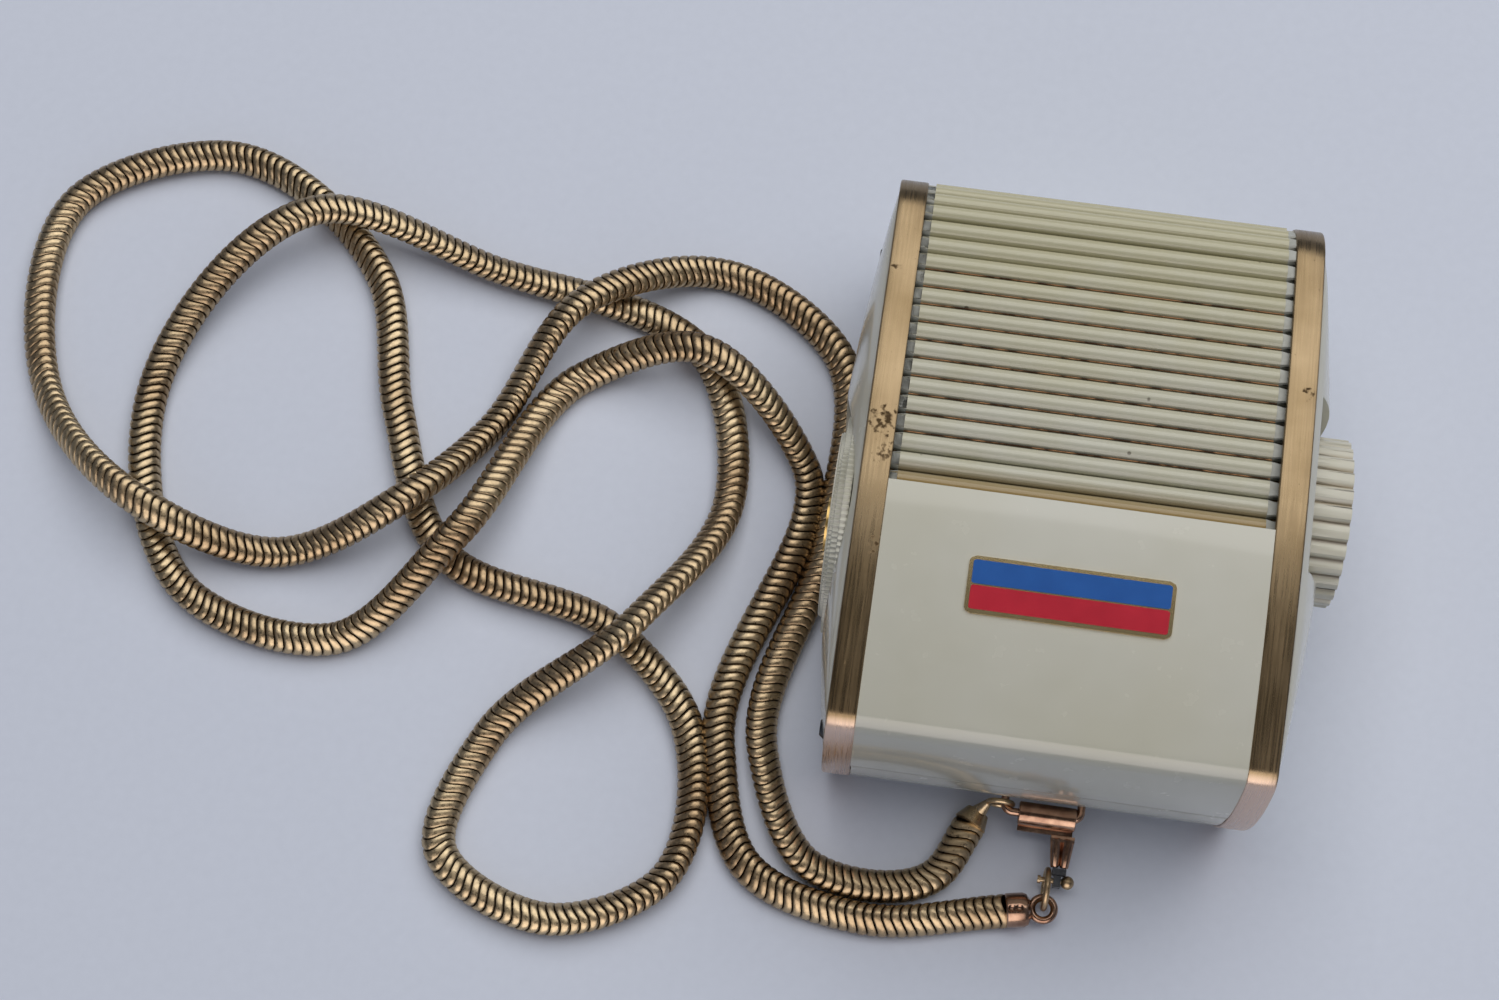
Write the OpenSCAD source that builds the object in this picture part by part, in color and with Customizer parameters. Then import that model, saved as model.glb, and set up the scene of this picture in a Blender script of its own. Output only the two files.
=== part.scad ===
// Pocket exposure meter with a slatted blind, side dials and a neck chain.
// The meter lies on its flat back: x runs across the case, +y points to the
// blind end, -y to the chain end and +z out of the front. All sizes in mm.

/* [Case] */
// Width over the two metal bands
case_w = 46; // [44:1:56]
// Length over the two rounded ends
case_l = 65; // [62:1:78]
// Height from the flat back to the crown of the front
case_h = 32.5; // [31:0.5:39]
// Radius of the long front arch
arch_r = 127; // [110:1:160]
// Radius of the two end faces
end_r = 42; // [38:1:50]
// Radius of the four long corners
corner_r = 6.5; // [6:0.1:7.8]
// Wall of the two moulded shells
shell_t = 1.1; // [0.9:0.1:1.3]
// Height of the parting line between the shells
part_z = 17; // [15:0.5:19]
// Step of the shells below the bands
shell_inset = 0.15; // [0.1:0.05:0.25]

/* [Bands and side plates] */
// Width of each metal band
band_w = 3.1; // [2.6:0.1:3.7]
// Thickness of the band metal
band_t = 0.9; // [0.8:0.05:1]
// Thickness of the inner side plates
plate_t = 1.2; // [1:0.1:1.5]
// Depth of the face covers inside the band edge
face_seat = 0.6; // [0.5:0.1:0.7]
// Height of the dome on the dial side
left_bulge = 2.85; // [2.4:0.05:3.4]
// Height of the dome on the knob side
right_bulge = 3.6; // [3:0.1:4.3]
// Lengthwise radius of the two domes
dome_r = 130; // [120:1:156]
// Crosswise radius that rounds off the long edges of the domes
dome_cross_r = 40; // [36:1:48]
// Rise of the crosswise curve over the dome crown
dome_cross_rise = 0.35; // [0.25:0.05:0.5]

/* [Blind] */
// Distance from one slat to the next
slat_pitch = 2.08; // [1.9:0.02:2.3]
// Gap between two slats
slat_gap = 0.12; // [0.08:0.02:0.2]
// Full height of a slat
slat_h = 1.6; // [1.5:0.05:1.7]
// Drop of the slat tips below the slat tops
tip_drop = 1; // [0.95:0.05:1.1]
// Visible length of each slat tip beside the band
tip_show = 1.2; // [1:0.1:1.4]
// Thickness of the ribbon under the slats
ribbon_t = 0.2; // [0.15:0.05:0.25]
// Place of the cover lip along the case
lip_y = -4.8; // [-6:0.1:-4]
// Depth of the blind below the front at the lip
lip_drop = 1.3; // [1.25:0.05:1.5]

/* [Light cell] */
// Thickness of the selenium plate
cell_t = 0.9; // [0.7:0.1:1.1]
// Height of the cell floor under the front crown
cell_drop = 9.1; // [8.8:0.1:9.6]
// Half width of the lens panel
lens_half_w = 17.5; // [14:0.5:18]

/* [Movement] */
// Place of the movement axis along the case
move_y = 5; // [4:0.5:6]
// Height of the movement axis
move_z = 14; // [13:0.5:14.5]
// Outside radius of the ring magnet
magnet_r = 8; // [7:0.5:8]
// Bore radius of the ring magnet
magnet_bore_r = 5.8; // [5.6:0.1:6]
// Radius of the soft iron core
core_r = 4; // [3.6:0.1:4]
// Radius of the pivot staff
staff_r = 0.35; // [0.3:0.05:0.4]
// Length of the needle from its pivot
needle_l = 16; // [14:0.5:16.5]
// Angle of the resting needle below the case's long axis
needle_rest_deg = 18; // [12:1:20]

/* [Calculator disc] */
// Outside radius of the knurled disc
disc_r = 14; // [12:0.5:14]
// Place of the disc centre along the case
disc_y = -6; // [-8:0.5:-5.5]
// Radius of the post the disc turns on
post_r = 2; // [1.8:0.1:2.4]

/* [Film speed knob] */
// Outside radius over the knob ribs
knob_r = 9.2; // [8:0.1:11]
// Place of the knob centre along the case
knob_y = 1.5; // [0:0.5:2]
// Thickness of the knob
knob_t = 4.6; // [4.2:0.1:5]
// Number of ribs round the knob
knob_ribs = 27; // [20:1:30]
// Radius of the knob shaft
knob_shaft_r = 2; // [1.8:0.1:2.4]

/* [Badge] */
// Length of the plain badge
badge_l = 21.2; // [18:0.1:25]
// Width of the plain badge
badge_w = 5.9; // [5:0.1:7]
// Place of the badge centre along the case
badge_y = -14.7; // [-16:0.1:-13]
// Width of the metal rim round the enamel
badge_rim = 0.45; // [0.3:0.05:0.6]

/* [Bail and clasp] */
// Distance between the two bail legs
bail_w = 8.4; // [7.5:0.1:9.4]
// Sideways place of the bail centre
bail_x = 1.6; // [1.4:0.1:1.8]
// Height of the bail wire
bail_z = 4.6; // [4.5:0.1:4.8]
// Radius of the bail wire
bail_wire_r = 0.45; // [0.4:0.05:0.5]
// Reach of the bail beyond the near end
bail_reach = 1.65; // [1.6:0.05:1.8]
// Outside radius of the clasp barrel
barrel_r = 1.3; // [1.1:0.1:1.3]

/* [Chain] */
// Radius of the chain tube
chain_r = 1.65; // [1.4:0.05:1.7]
// Outside radius of the chain ferrules
ferrule_r = 1.9; // [1.75:0.05:2]

/* [Fits] */
// Radial clearance of turning parts
turn_clear = 0.05; // [0.03:0.01:0.08]
// Clearance beside seated parts
seat_clear = 0.02; // [0.01:0.01:0.05]

/* [Hidden] */
$fn = 64;

// Case outline, seen from the side as [y, z].
half_w = case_w / 2;
half_l = case_l / 2;
arch_z = case_h - arch_r;
end_y = half_l - end_r;
end_z = case_h / 2;
arch_c = [0, arch_z];
end_c = [end_y, end_z];

// Upper meeting point of two circles, on the +y side of the line between them.
function meet(c1, r1, c2, r2) =
  let (d = norm(c2 - c1), u = (c2 - c1) / d, a = (r1 * r1 - r2 * r2 + d * d) / (2 * d))
  c1 + a * u + sqrt(r1 * r1 - a * a) * [u[1], -u[0]];
function unit(v) = v / norm(v);

top_corner = meet(arch_c, arch_r - corner_r, end_c, end_r - corner_r);
foot_corner = [end_y + sqrt(pow(end_r - corner_r, 2) - pow(end_z - corner_r, 2)), corner_r];
top_in = unit(top_corner - arch_c);
top_out = unit(top_corner - end_c);
foot_out = unit(foot_corner - end_c);
arch_end_deg = atan2(top_in[0], top_in[1]);
end_top_deg = atan2(top_out[1], top_out[0]);

// Widths inside the case.
gap_half = half_w - band_w;
shell_half = gap_half - 0.05;
face_x = half_w - face_seat;
plate_x = face_x - plate_t;
tongue_x = shell_half - 1;
tongue_t = 1.1;
back_in = shell_inset + shell_t;

// Screws, pillars, rods and the rest panel of the back.
screw_r = 0.8;
screw_head_r = 1.8;
screw_head_z = 0.8;
SCREW_PLACES = [[-15, 20], [15, 20], [-15, -20], [15, -20]];
pad_half_w = 18.5;
pad_half_l = 23;
tie_r = 1.1;
TIE_PLACES = [[-(half_l - 7.5), 5], [half_l - 7.5, 5], [-(half_l - 5), 19], [half_l - 4.6, 13]];
face_screw_r = 0.7;
face_head_r = 1.3;
FACE_SCREW_PLACES = [-(half_l - 4), half_l - 4];
dome_y = half_l - 5.4;

// Insulating deck over the near half.
deck_z = 20.5;
deck_t = 1.2;
deck_y0 = -(half_l - 7);
deck_y1 = -4.2;

// Blind centre: flush with the front at the far corner and sunk under the lip.
lip_deg = asin(lip_y / arch_r);
blind_shift = lip_drop / sin(arch_end_deg - lip_deg);
blind_y = blind_shift * top_in[1];
blind_z = arch_z - blind_shift * top_in[0];
pitch_deg = slat_pitch / arch_r * 180 / PI;
far_deg = asin((arch_r * top_in[0] - blind_y) / arch_r);
last_slat_deg = far_deg - 0.92 * pitch_deg;
flight_count = 1 + floor((last_slat_deg - asin((lip_y - blind_y) / arch_r) + 0.1) / pitch_deg);
first_slat_deg = last_slat_deg - (flight_count - 1) * pitch_deg;
slat_w = slat_pitch - slat_gap;
slat_half = gap_half - tip_show;
tip_half = plate_x - 0.25;
ribbon_half = tip_half - 0.2;
rail_drop = slat_h + ribbon_t + 0.1;
rail_w = 1.6;
blind_under_r = arch_r - rail_drop - 0.2;

// Slats that stay round the far corner and down the end face to the tray.
fixed_slat_r = 0.85;
end_last_deg = asin((part_z + fixed_slat_r + 0.15 - end_z) / (end_r - fixed_slat_r));
bend_l = (90 - arch_end_deg - end_top_deg) * corner_r * PI / 180;
fixed_l = bend_l + (end_top_deg - end_last_deg) * end_r * PI / 180;
fixed_count = ceil(fixed_l / slat_pitch) + 1;
fixed_pitch = (fixed_l - 0.1) / (fixed_count - 1);

// Light cell heights.
cell_floor_z = case_h - cell_drop;
cell_seat_z = cell_floor_z + 1.6;
lens_z = cell_seat_z + cell_t;
cell_y0 = 2;
cell_y1 = top_corner[0] + 0.4;
frame_wall = 1;

// Movement places along x, on the dial side.
bridge_t = 1;
bridge_x = -plate_x + bridge_t;
magnet_l = 8.7;
magnet_x1 = bridge_x + magnet_l;
coil_x0 = bridge_x + 1;
coil_x1 = magnet_x1 - 0.8;
coil_bar = 0.4;
coil_w = 2.4;
coil_in = core_r + 0.25;
coil_out = magnet_bore_r - 0.4;
jewel_r = 1.2;
needle_x = -(plate_x + 0.65);

// Dial side: disc, post and window.
disc_z = 16.2;
pocket_x = half_w + 0.5;
window_y0 = disc_y + disc_r + 2.5;
window_y1 = window_y0 + 14;
window_z0 = 9;
window_z1 = 22.5;
chamber_z0 = 8;
chamber_z1 = cell_floor_z - 0.6;

// Knob side.
knob_z = 16.5;
knob_pocket_x = half_w + 1;
knob_pocket_r = knob_r + 0.4;
knob_seat = knob_pocket_x + 0.12;
shaft_end_x = plate_x - 5;
ring_r = 6.3;
ring_bore_r = 4.2;
ring_l = 3;
rib_r = 0.62;

// Bail, clasp and chain ends.
end_skin_y = foot_corner[0] + sqrt(pow(corner_r, 2) - pow(corner_r - bail_z, 2));
bail_y = -(end_skin_y + bail_reach);
bail_x0 = bail_x - bail_w / 2;
bail_x1 = bail_x + bail_w / 2;
bail_bend = 0.5;
barrel_x0 = bail_x - 2.6;
barrel_x1 = bail_x + 3.7;
hook_x = 4.2;
pin_r = 0.3;
link_r = 2.1;
link_wire_r = 0.35;
hook_root_y = bail_y - 1.8;
zero_x = -8;
zero_r = 1.5;

// Chain route on the table: x, y and the lift of the centreline, drawn for a
// case of 46 by 65 and stretched with it.
route_w = 46;
route_l = 65;
lay = chain_r;
hump = 5.8;
ROUTE = [
  [-1, -43, lay], [-17, -46, lay], [-30, -42, lay], [-35, -29, lay], [-30, 5, lay],
  [-44, 16, hump], [-57, 12, lay], [-68, -10, hump], [-80, -23, lay], [-98, -20, lay],
  [-107, 4, lay], [-91, 27, hump], [-70, 24, lay], [-42, 15, lay], [-38, -1, lay],
  [-46, -17, hump], [-61, -32, lay], [-64, -45, lay], [-51, -51, lay], [-39, -45, lay],
  [-39, -27, lay], [-48, -18, lay], [-70, -11, lay], [-78, 5, lay], [-83, 21, lay],
  [-104, 34, lay], [-121, 26, lay], [-120, 3, lay], [-105, -11, hump], [-89, -14, lay],
  [-74, -6, hump], [-67, 4, lay], [-58, 20, hump], [-43, 27, lay], [-28, 19, lay],
  [-26, -3, lay], [-30, -29, lay], [-23, -41, lay], [-9, -40, lay], [-6, -34, lay]];
POINTS = [for (p = ROUTE) [p[0] * case_w / route_w, p[1] * case_l / route_l, p[2]]];
LAST = len(POINTS) - 1;
SPANS = [for (i = [0 : LAST - 1]) norm(POINTS[i + 1] - POINTS[i])];
steps = 2;
tube_sides = 8;

// Direction of the route at a point, from the spans on both sides of it.
function slope(i) =
  i == 0 ? (POINTS[1] - POINTS[0]) / SPANS[0] :
  i == LAST ? (POINTS[LAST] - POINTS[LAST - 1]) / SPANS[LAST - 1] :
  ((POINTS[i] - POINTS[i - 1]) * SPANS[i] / SPANS[i - 1]
    + (POINTS[i + 1] - POINTS[i]) * SPANS[i - 1] / SPANS[i]) / (SPANS[i - 1] + SPANS[i]);

// Point on the smooth curve between route points i and i + 1.
function between(i, t) =
  (2 * pow(t, 3) - 3 * pow(t, 2) + 1) * POINTS[i]
  + (pow(t, 3) - 2 * pow(t, 2) + t) * SPANS[i] * slope(i)
  + (3 * pow(t, 2) - 2 * pow(t, 3)) * POINTS[i + 1]
  + (pow(t, 3) - pow(t, 2)) * SPANS[i] * slope(i + 1);
function above_table(p) = [p[0], p[1], max(p[2], lay)];

CENTRES = concat(
  [for (i = [0 : LAST - 1], k = [0 : steps - 1]) above_table(between(i, k / steps))],
  [POINTS[LAST]]);
RINGS = len(CENTRES);
function heading(j) =
  j == 0 ? slope(0) : j == RINGS - 1 ? slope(LAST) : unit(CENTRES[j + 1] - CENTRES[j - 1]);
function sideways(j) = unit(cross(heading(j), [0, 0, 1]));
function upward(j) = cross(sideways(j), heading(j));

// Ends of the chain and the directions the ferrules take.
start_p = POINTS[0];
start_dir = -slope(0);
finish_p = POINTS[LAST];
finish_dir = slope(LAST);
eye_a = [start_p[0], start_p[1], ferrule_r] + 4.1 * start_dir;
link_c = [eye_a[0], eye_a[1] + link_r, 2.6];
pin_y = link_c[1] + 1;
hook_tip_y = pin_y + 1.3;
eye_b = [bail_x0 - 0.45, bail_y + 0.8, bail_z - 0.1];

// Solid slab of a [y, z] drawing between two x places.
module slab(x0, x1) {
  translate([x0, 0, 0])
    rotate([90, 0, 90])
      linear_extrude(x1 - x0)
        children();
}

// The same drawing on both sides of the case, between two distances from the middle.
module both_sides(x0, x1) {
  slab(x0, x1)
    children();
  slab(-x1, -x0)
    children();
}

// Wedge that clears the sharp corner outside a corner circle.
module corner_wedge(centre, dir_a, dir_b) {
  reach = 2 * corner_r;
  polygon([centre, centre + reach * dir_a, centre + reach * (dir_a + dir_b), centre + reach * dir_b]);
}

// Side view of the case, drawn smaller by the inset.
module outline(inset) {
  difference() {
    intersection() {
      translate(arch_c)
        circle(arch_r - inset, $fn = 360);
      translate(end_c)
        circle(end_r - inset, $fn = 180);
      translate([-end_y, end_z])
        circle(end_r - inset, $fn = 180);
      translate([-case_l, inset])
        square([2 * case_l, 2 * case_h]);
    }
    for (side = [0, 1])
      mirror([side, 0]) {
        corner_wedge(top_corner, top_in, top_out);
        corner_wedge(foot_corner, [0, -1], foot_out);
      }
  }
  for (side = [0, 1])
    mirror([side, 0]) {
      translate(top_corner)
        circle(corner_r - inset);
      translate(foot_corner)
        circle(corner_r - inset);
    }
}

// Closed skin between two insets of the outline.
module skin(outer, inner) {
  difference() {
    outline(outer);
    outline(inner);
  }
}

// Half planes of the side view.
module above(z) {
  translate([-case_l, z])
    square([2 * case_l, 2 * case_h]);
}

module below(z) {
  translate([-case_l, z - 2 * case_h])
    square([2 * case_l, 2 * case_h]);
}

module near_of(y) {
  translate([y - 2 * case_l, -case_h])
    square([2 * case_l, 3 * case_h]);
}

module far_of(y) {
  translate([y, -case_h])
    square([2 * case_l, 3 * case_h]);
}

// Rod or cone from one point to another.
module rod(a, b, r1, r2) {
  v = b - a;
  translate(a)
    rotate([0, acos(v[2] / norm(v)), atan2(v[1], v[0])])
      cylinder(h = norm(v), r1 = r1, r2 = r2);
}

// Cylinder along x at a [y, z] place.
module pin_x(x0, x1, y, z, r) {
  translate([x0, y, z])
    rotate([0, 90, 0])
      cylinder(h = x1 - x0, r = r);
}

// Pillow-shaped solid whose crown lies the given distance from the middle.
module barrel(crown, side) {
  mirror([side < 0 ? 1 : 0, 0, 0])
    intersection() {
      translate([crown - dome_r, 0, -case_h])
        cylinder(h = 3 * case_h, r = dome_r, $fn = 360);
      translate([crown + dome_cross_rise - dome_cross_r, case_l, end_z])
        rotate([90, 0, 0])
          cylinder(h = 2 * case_l, r = dome_cross_r, $fn = 180);
    }
}

// Box between two corners.
module block(a, b) {
  translate(a)
    cube(b - a);
}

// Moulded cover over the near half of the front and the near end.
module front_shell() {
  color("ivory") {
    slab(-shell_half, shell_half)
      intersection() {
        skin(shell_inset, back_in);
        above(part_z);
        near_of(lip_y);
      }
    both_sides(tongue_x, plate_x)
      intersection() {
        skin(band_t + seat_clear, band_t + tongue_t);
        above(part_z);
        below(part_z + 6);
        near_of(0);
      }
  }
}

// Moulded tray: flat back with a raised rest panel, and the lower half of both ends.
module back_shell() {
  color("ivory")
    difference() {
      union() {
        slab(-shell_half, shell_half)
          intersection() {
            skin(shell_inset, back_in);
            below(part_z);
          }
        both_sides(tongue_x, plate_x)
          intersection() {
            skin(band_t + seat_clear, band_t + tongue_t);
            below(part_z);
          }
        block([-pad_half_w, -pad_half_l, 0], [pad_half_w, pad_half_l, shell_inset + 0.3]);
      }
      for (x = [bail_x0, bail_x1])
        rod([x, bail_y, bail_z], [x, bail_y + 6, bail_z], bail_wire_r + seat_clear, bail_wire_r + seat_clear);
      for (p = SCREW_PLACES) {
        translate([p[0], p[1], -1])
          cylinder(h = 4, r = screw_r + turn_clear);
        translate([p[0], p[1], -1])
          cylinder(h = 1 + screw_head_z + seat_clear, r = screw_head_r + turn_clear);
      }
      translate([zero_x, move_y, -1])
        cylinder(h = 4, r = zero_r + turn_clear);
    }
}

// Metal band round one side of the case.
module band(side) {
  color("goldenrod")
    mirror([side < 0 ? 1 : 0, 0, 0])
      slab(gap_half, half_w)
        skin(0, band_t);
}

// Arc ledge that carries the slat tips.
module rail() {
  translate([plate_x - rail_w, 0, 0])
    rotate([90, 0, 90])
      linear_extrude(rail_w)
        intersection() {
          difference() {
            translate([blind_y, blind_z])
              circle(arch_r - rail_drop, $fn = 360);
            translate([blind_y, blind_z])
              circle(arch_r - rail_drop - 1, $fn = 360);
          }
          outline(band_t + tongue_t + 0.2);
          above(part_z + 6.2);
          near_of(top_corner[0]);
        }
}

// Side plate on the dial side, open behind the needle.
module left_plate() {
  color("silver")
    difference() {
      union() {
        slab(-face_x, -plate_x)
          outline(band_t + seat_clear);
        mirror([1, 0, 0])
          rail();
      }
      block([-face_x - 1, move_y - 2.6, chamber_z0], [-plate_x + 0.01, window_y1 - 0.2, chamber_z1]);
      for (y = FACE_SCREW_PLACES)
        pin_x(-face_x - 1, -plate_x + 1, y, end_z, face_screw_r + seat_clear);
      pin_x(-face_x - 1, -plate_x + 1, disc_y, disc_z, 1.4);
    }
}

// Side plate on the knob side, bored for the knob shaft.
module right_plate() {
  color("silver")
    difference() {
      union() {
        slab(plate_x, face_x)
          outline(band_t + seat_clear);
        rail();
      }
      pin_x(plate_x - 1, face_x + 1, knob_y, knob_z, knob_shaft_r + turn_clear);
      for (y = FACE_SCREW_PLACES)
        pin_x(plate_x - 1, face_x + 1, y, end_z, face_screw_r + seat_clear);
    }
}

// Face screws at both ends of both sides.
module face_screws() {
  color("dimgray")
    for (side = [0, 1], y = FACE_SCREW_PLACES)
      mirror([side, 0, 0]) {
        pin_x(plate_x, half_w + 0.1, y, end_z, face_screw_r);
        translate([half_w + 0.1, y, end_z])
          rotate([0, 90, 0])
            cylinder(h = 0.6, r1 = face_head_r, r2 = face_head_r - 0.5);
      }
}

// Footprint of the dome inside the band, its four corners cut off.
module dome_footprint() {
  low = band_t + 0.1;
  intersection() {
    translate(arch_c)
      circle(arch_r - band_t - 0.1, $fn = 360);
    polygon([[-dome_y, low + 4], [-dome_y + 3.4, low], [dome_y - 3.4, low], [dome_y, low + 4],
      [dome_y, case_h - 7.5], [dome_y - 5, case_h + 7.5], [-dome_y + 5, case_h + 7.5], [-dome_y, case_h - 7.5]]);
  }
}

// Domed cover of one side, with a flat rim inside the band.
module face_body(bulge, side) {
  mirror([side < 0 ? 1 : 0, 0, 0])
    slab(face_x, half_w - 0.1)
      outline(band_t + seat_clear);
  intersection() {
    mirror([side < 0 ? 1 : 0, 0, 0])
      slab(face_x + 0.1, half_w + bulge + 1)
        dome_footprint();
    barrel(half_w + bulge, side);
  }
}

// Cover on the dial side: round pocket for the disc, opening for the window.
module left_face() {
  color("ivory")
    difference() {
      face_body(left_bulge, -1);
      pin_x(-half_w - 10, -pocket_x, disc_y, disc_z, disc_r + 0.15);
      pin_x(-half_w - 10, -face_x + 1, disc_y, disc_z, post_r + seat_clear);
      block([-half_w - 10, window_y0, window_z0], [-half_w + 0.1, window_y1, window_z1]);
      block([-half_w - 10, window_y0 + 1, window_z0 + 1], [-face_x + 1, window_y1 - 1, window_z1 - 1]);
      for (y = FACE_SCREW_PLACES)
        pin_x(-half_w - 10, -face_x + 1, y, end_z, face_screw_r + seat_clear);
    }
}

// Side view of the knob pocket, open towards the front.
module knob_slot(r) {
  translate([knob_y, knob_z])
    circle(r);
  translate([knob_y - r, knob_z])
    square([2 * r, case_h]);
}

// Cover on the knob side, hollow behind its dome round the knob pocket.
module right_face() {
  color("ivory")
    difference() {
      face_body(right_bulge, 1);
      difference() {
        intersection() {
          block([face_x - 1, -20, 5.5], [half_w + right_bulge, 20, case_h - 5.5]);
          barrel(half_w + right_bulge - 1.4, 1);
        }
        slab(0, half_w + 10)
          knob_slot(knob_pocket_r + 1.2);
      }
      slab(knob_pocket_x, half_w + 10)
        knob_slot(knob_pocket_r);
      pin_x(0, half_w + 10, knob_y, knob_z, knob_shaft_r + turn_clear);
      for (y = FACE_SCREW_PLACES)
        pin_x(0, half_w + 10, y, end_z, face_screw_r + seat_clear);
    }
}

// Clear window over the needle, flush with the dome.
module scale_window() {
  color("lightcyan")
    intersection() {
      block([-half_w - 10, window_y0 + seat_clear, window_z0 + seat_clear],
        [-half_w + 0.1, window_y1 - seat_clear, window_z1 - seat_clear]);
      barrel(half_w + left_bulge, -1);
    }
}

// Printed plate behind the needle.
module scale_plate() {
  color("white")
    block([-plate_x, move_y + 2.2, chamber_z0 - 1], [-plate_x + 0.3, window_y1 + 0.6, chamber_z1 + 0.4]);
}

// Rounded rectangle lying flat, centred on the badge.
module badge_shape(grow) {
  l = badge_l + 2 * grow;
  w = badge_w + 2 * grow;
  r = 0.7;
  translate([-l / 2 + r, -w / 2])
    square([l - 2 * r, w]);
  translate([-l / 2, -w / 2 + r])
    square([l, w - 2 * r]);
  for (x = [-l / 2 + r, l / 2 - r], y = [-w / 2 + r, w / 2 - r])
    translate([x, y])
      circle(r);
}

// Thin layer of the front arch between two heights over the shell skin.
module arch_layer(low, high) {
  slab(-half_w, half_w)
    difference() {
      translate(arch_c)
        circle(arch_r - shell_inset + high, $fn = 360);
      translate(arch_c)
        circle(arch_r - shell_inset + low, $fn = 360);
    }
}

// Plain metal badge plate bent to the front arch.
module badge_plate() {
  color("gold")
    intersection() {
      translate([0, badge_y, 0])
        linear_extrude(2 * case_h)
          badge_shape(0);
      arch_layer(0, 0.25);
    }
}

// Two plain enamel fields on the badge, one above the other.
module badge_enamel() {
  color("firebrick")
    for (side = [-1, 1])
      intersection() {
        translate([0, badge_y, 0])
          linear_extrude(2 * case_h)
            badge_shape(-badge_rim);
        translate([0, badge_y + side * badge_w / 2, case_h])
          cube([2 * badge_l, badge_w - 0.1, case_h], center = true);
        arch_layer(0.25, 0.35);
      }
}

// Screws from the back into the pillars.
module back_screws() {
  color("gray")
    for (p = SCREW_PLACES)
      translate([p[0], p[1], 0]) {
        difference() {
          translate([0, 0, shell_inset + 0.05])
            cylinder(h = screw_head_z - shell_inset - 0.05, r = screw_head_r);
          translate([-3, -0.2, 0])
            cube([6, 0.4, shell_inset + 0.35]);
        }
        translate([0, 0, screw_head_z])
          cylinder(h = 7, r = screw_r);
      }
}

// Pillars from the tray to the cell frame and the deck.
module pillars() {
  color("silver")
    difference() {
      for (p = SCREW_PLACES)
        translate([p[0], p[1], back_in])
          cylinder(h = (p[1] > 0 ? cell_floor_z : deck_z) - back_in, r = 1.6);
      for (p = SCREW_PLACES)
        translate([p[0], p[1], 0])
          cylinder(h = 8.5, r = screw_r + seat_clear);
    }
}

// Rods that hold the two side plates apart.
module tie_rods() {
  color("silver")
    for (p = TIE_PLACES)
      pin_x(-plate_x, plate_x, p[0], p[1], tie_r);
}

// Insulating deck between the side plates.
module deck() {
  color("saddlebrown")
    block([-plate_x, deck_y0, deck_z], [plate_x, deck_y1, deck_z + deck_t]);
}

// Terminal strip with two solder tags.
module terminal_strip() {
  color("tan")
    block([5, -20, deck_z + deck_t], [15, -15, deck_z + deck_t + 1.2]);
  color("silver")
    for (x = [7, 13])
      translate([x, -17.5, deck_z + deck_t + 1.2])
        cylinder(h = 0.8, r = 1);
}

// Side view of one slat, its crown at the origin.
module slat_profile() {
  intersection() {
    translate([0, -slat_w / 2])
      circle(slat_w / 2);
    translate([-slat_w, -slat_h])
      square([2 * slat_w, slat_h]);
  }
  translate([-slat_w / 2, -slat_h])
    square([slat_w, slat_h - slat_w / 2]);
}

// Turns its children about the blind centre, crown at the given angle.
module on_blind(deg) {
  translate([0, blind_y, blind_z])
    rotate([-deg, 0, 0])
      translate([0, 0, arch_r])
        children();
}

// The flight of slats that slides under the cover.
module blind_slats() {
  color("ivory")
    for (i = [0 : flight_count - 1])
      on_blind(first_slat_deg + i * pitch_deg) {
        slab(-slat_half, slat_half)
          slat_profile();
        both_sides(slat_half, tip_half)
          translate([-slat_w / 2 + 0.12, -slat_h])
            square([slat_w - 0.24, slat_h - tip_drop]);
      }
}

// Side view of the fan between two angles about the blind centre.
module blind_fan(deg0, deg1) {
  reach = 2 * arch_r;
  translate([blind_y, blind_z])
    polygon([[0, 0], reach * [sin(deg0), cos(deg0)], reach * [sin(deg1), cos(deg1)]]);
}

// Ribbon that joins the sliding slats.
module blind_ribbon() {
  color("goldenrod")
    slab(-ribbon_half, ribbon_half)
      intersection() {
        difference() {
          translate([blind_y, blind_z])
            circle(arch_r - slat_h - seat_clear, $fn = 360);
          translate([blind_y, blind_z])
            circle(arch_r - slat_h - ribbon_t, $fn = 360);
        }
        blind_fan(first_slat_deg - 0.4 * pitch_deg, last_slat_deg + 0.4 * pitch_deg);
      }
}

// Round slats that stay on the far corner and the end face.
module corner_slats() {
  color("ivory")
    difference() {
      for (i = [0 : fixed_count - 1])
        fixed_slat(0.1 + i * fixed_pitch);
      slab(-half_w, half_w)
        outline(slat_h);
    }
}

// One fixed slat at a distance along the bend of the outline, with two thinner
// tips that reach the side plates.
module fixed_slat(s) {
  on_bend = s < bend_l;
  centre = on_bend ? top_corner : end_c;
  r = on_bend ? corner_r : end_r;
  deg = on_bend ? 90 - arch_end_deg - s / corner_r * 180 / PI : end_top_deg - (s - bend_l) / end_r * 180 / PI;
  slat = centre + (r - fixed_slat_r) * [cos(deg), sin(deg)];
  tip = centre + (r - slat_h + 0.3) * [cos(deg), sin(deg)];
  pin_x(-slat_half, slat_half, slat[0], slat[1], fixed_slat_r);
  pin_x(-plate_x, plate_x, tip[0], tip[1], 0.3);
}

// Ribbon under the fixed slats.
module end_ribbon() {
  color("goldenrod")
    slab(-plate_x, plate_x)
      intersection() {
        skin(slat_h, slat_h + ribbon_t);
        above(part_z);
        far_of(top_corner[0] + 0.9);
      }
}

// Clear lens panel under the blind opening.
module lens_panel() {
  color("lightcyan")
    slab(-lens_half_w, lens_half_w)
      intersection() {
        translate([blind_y, blind_z])
          circle(blind_under_r, $fn = 360);
        above(lens_z);
        near_of(cell_y1 - frame_wall);
        far_of(cell_y0 + frame_wall);
      }
}

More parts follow.
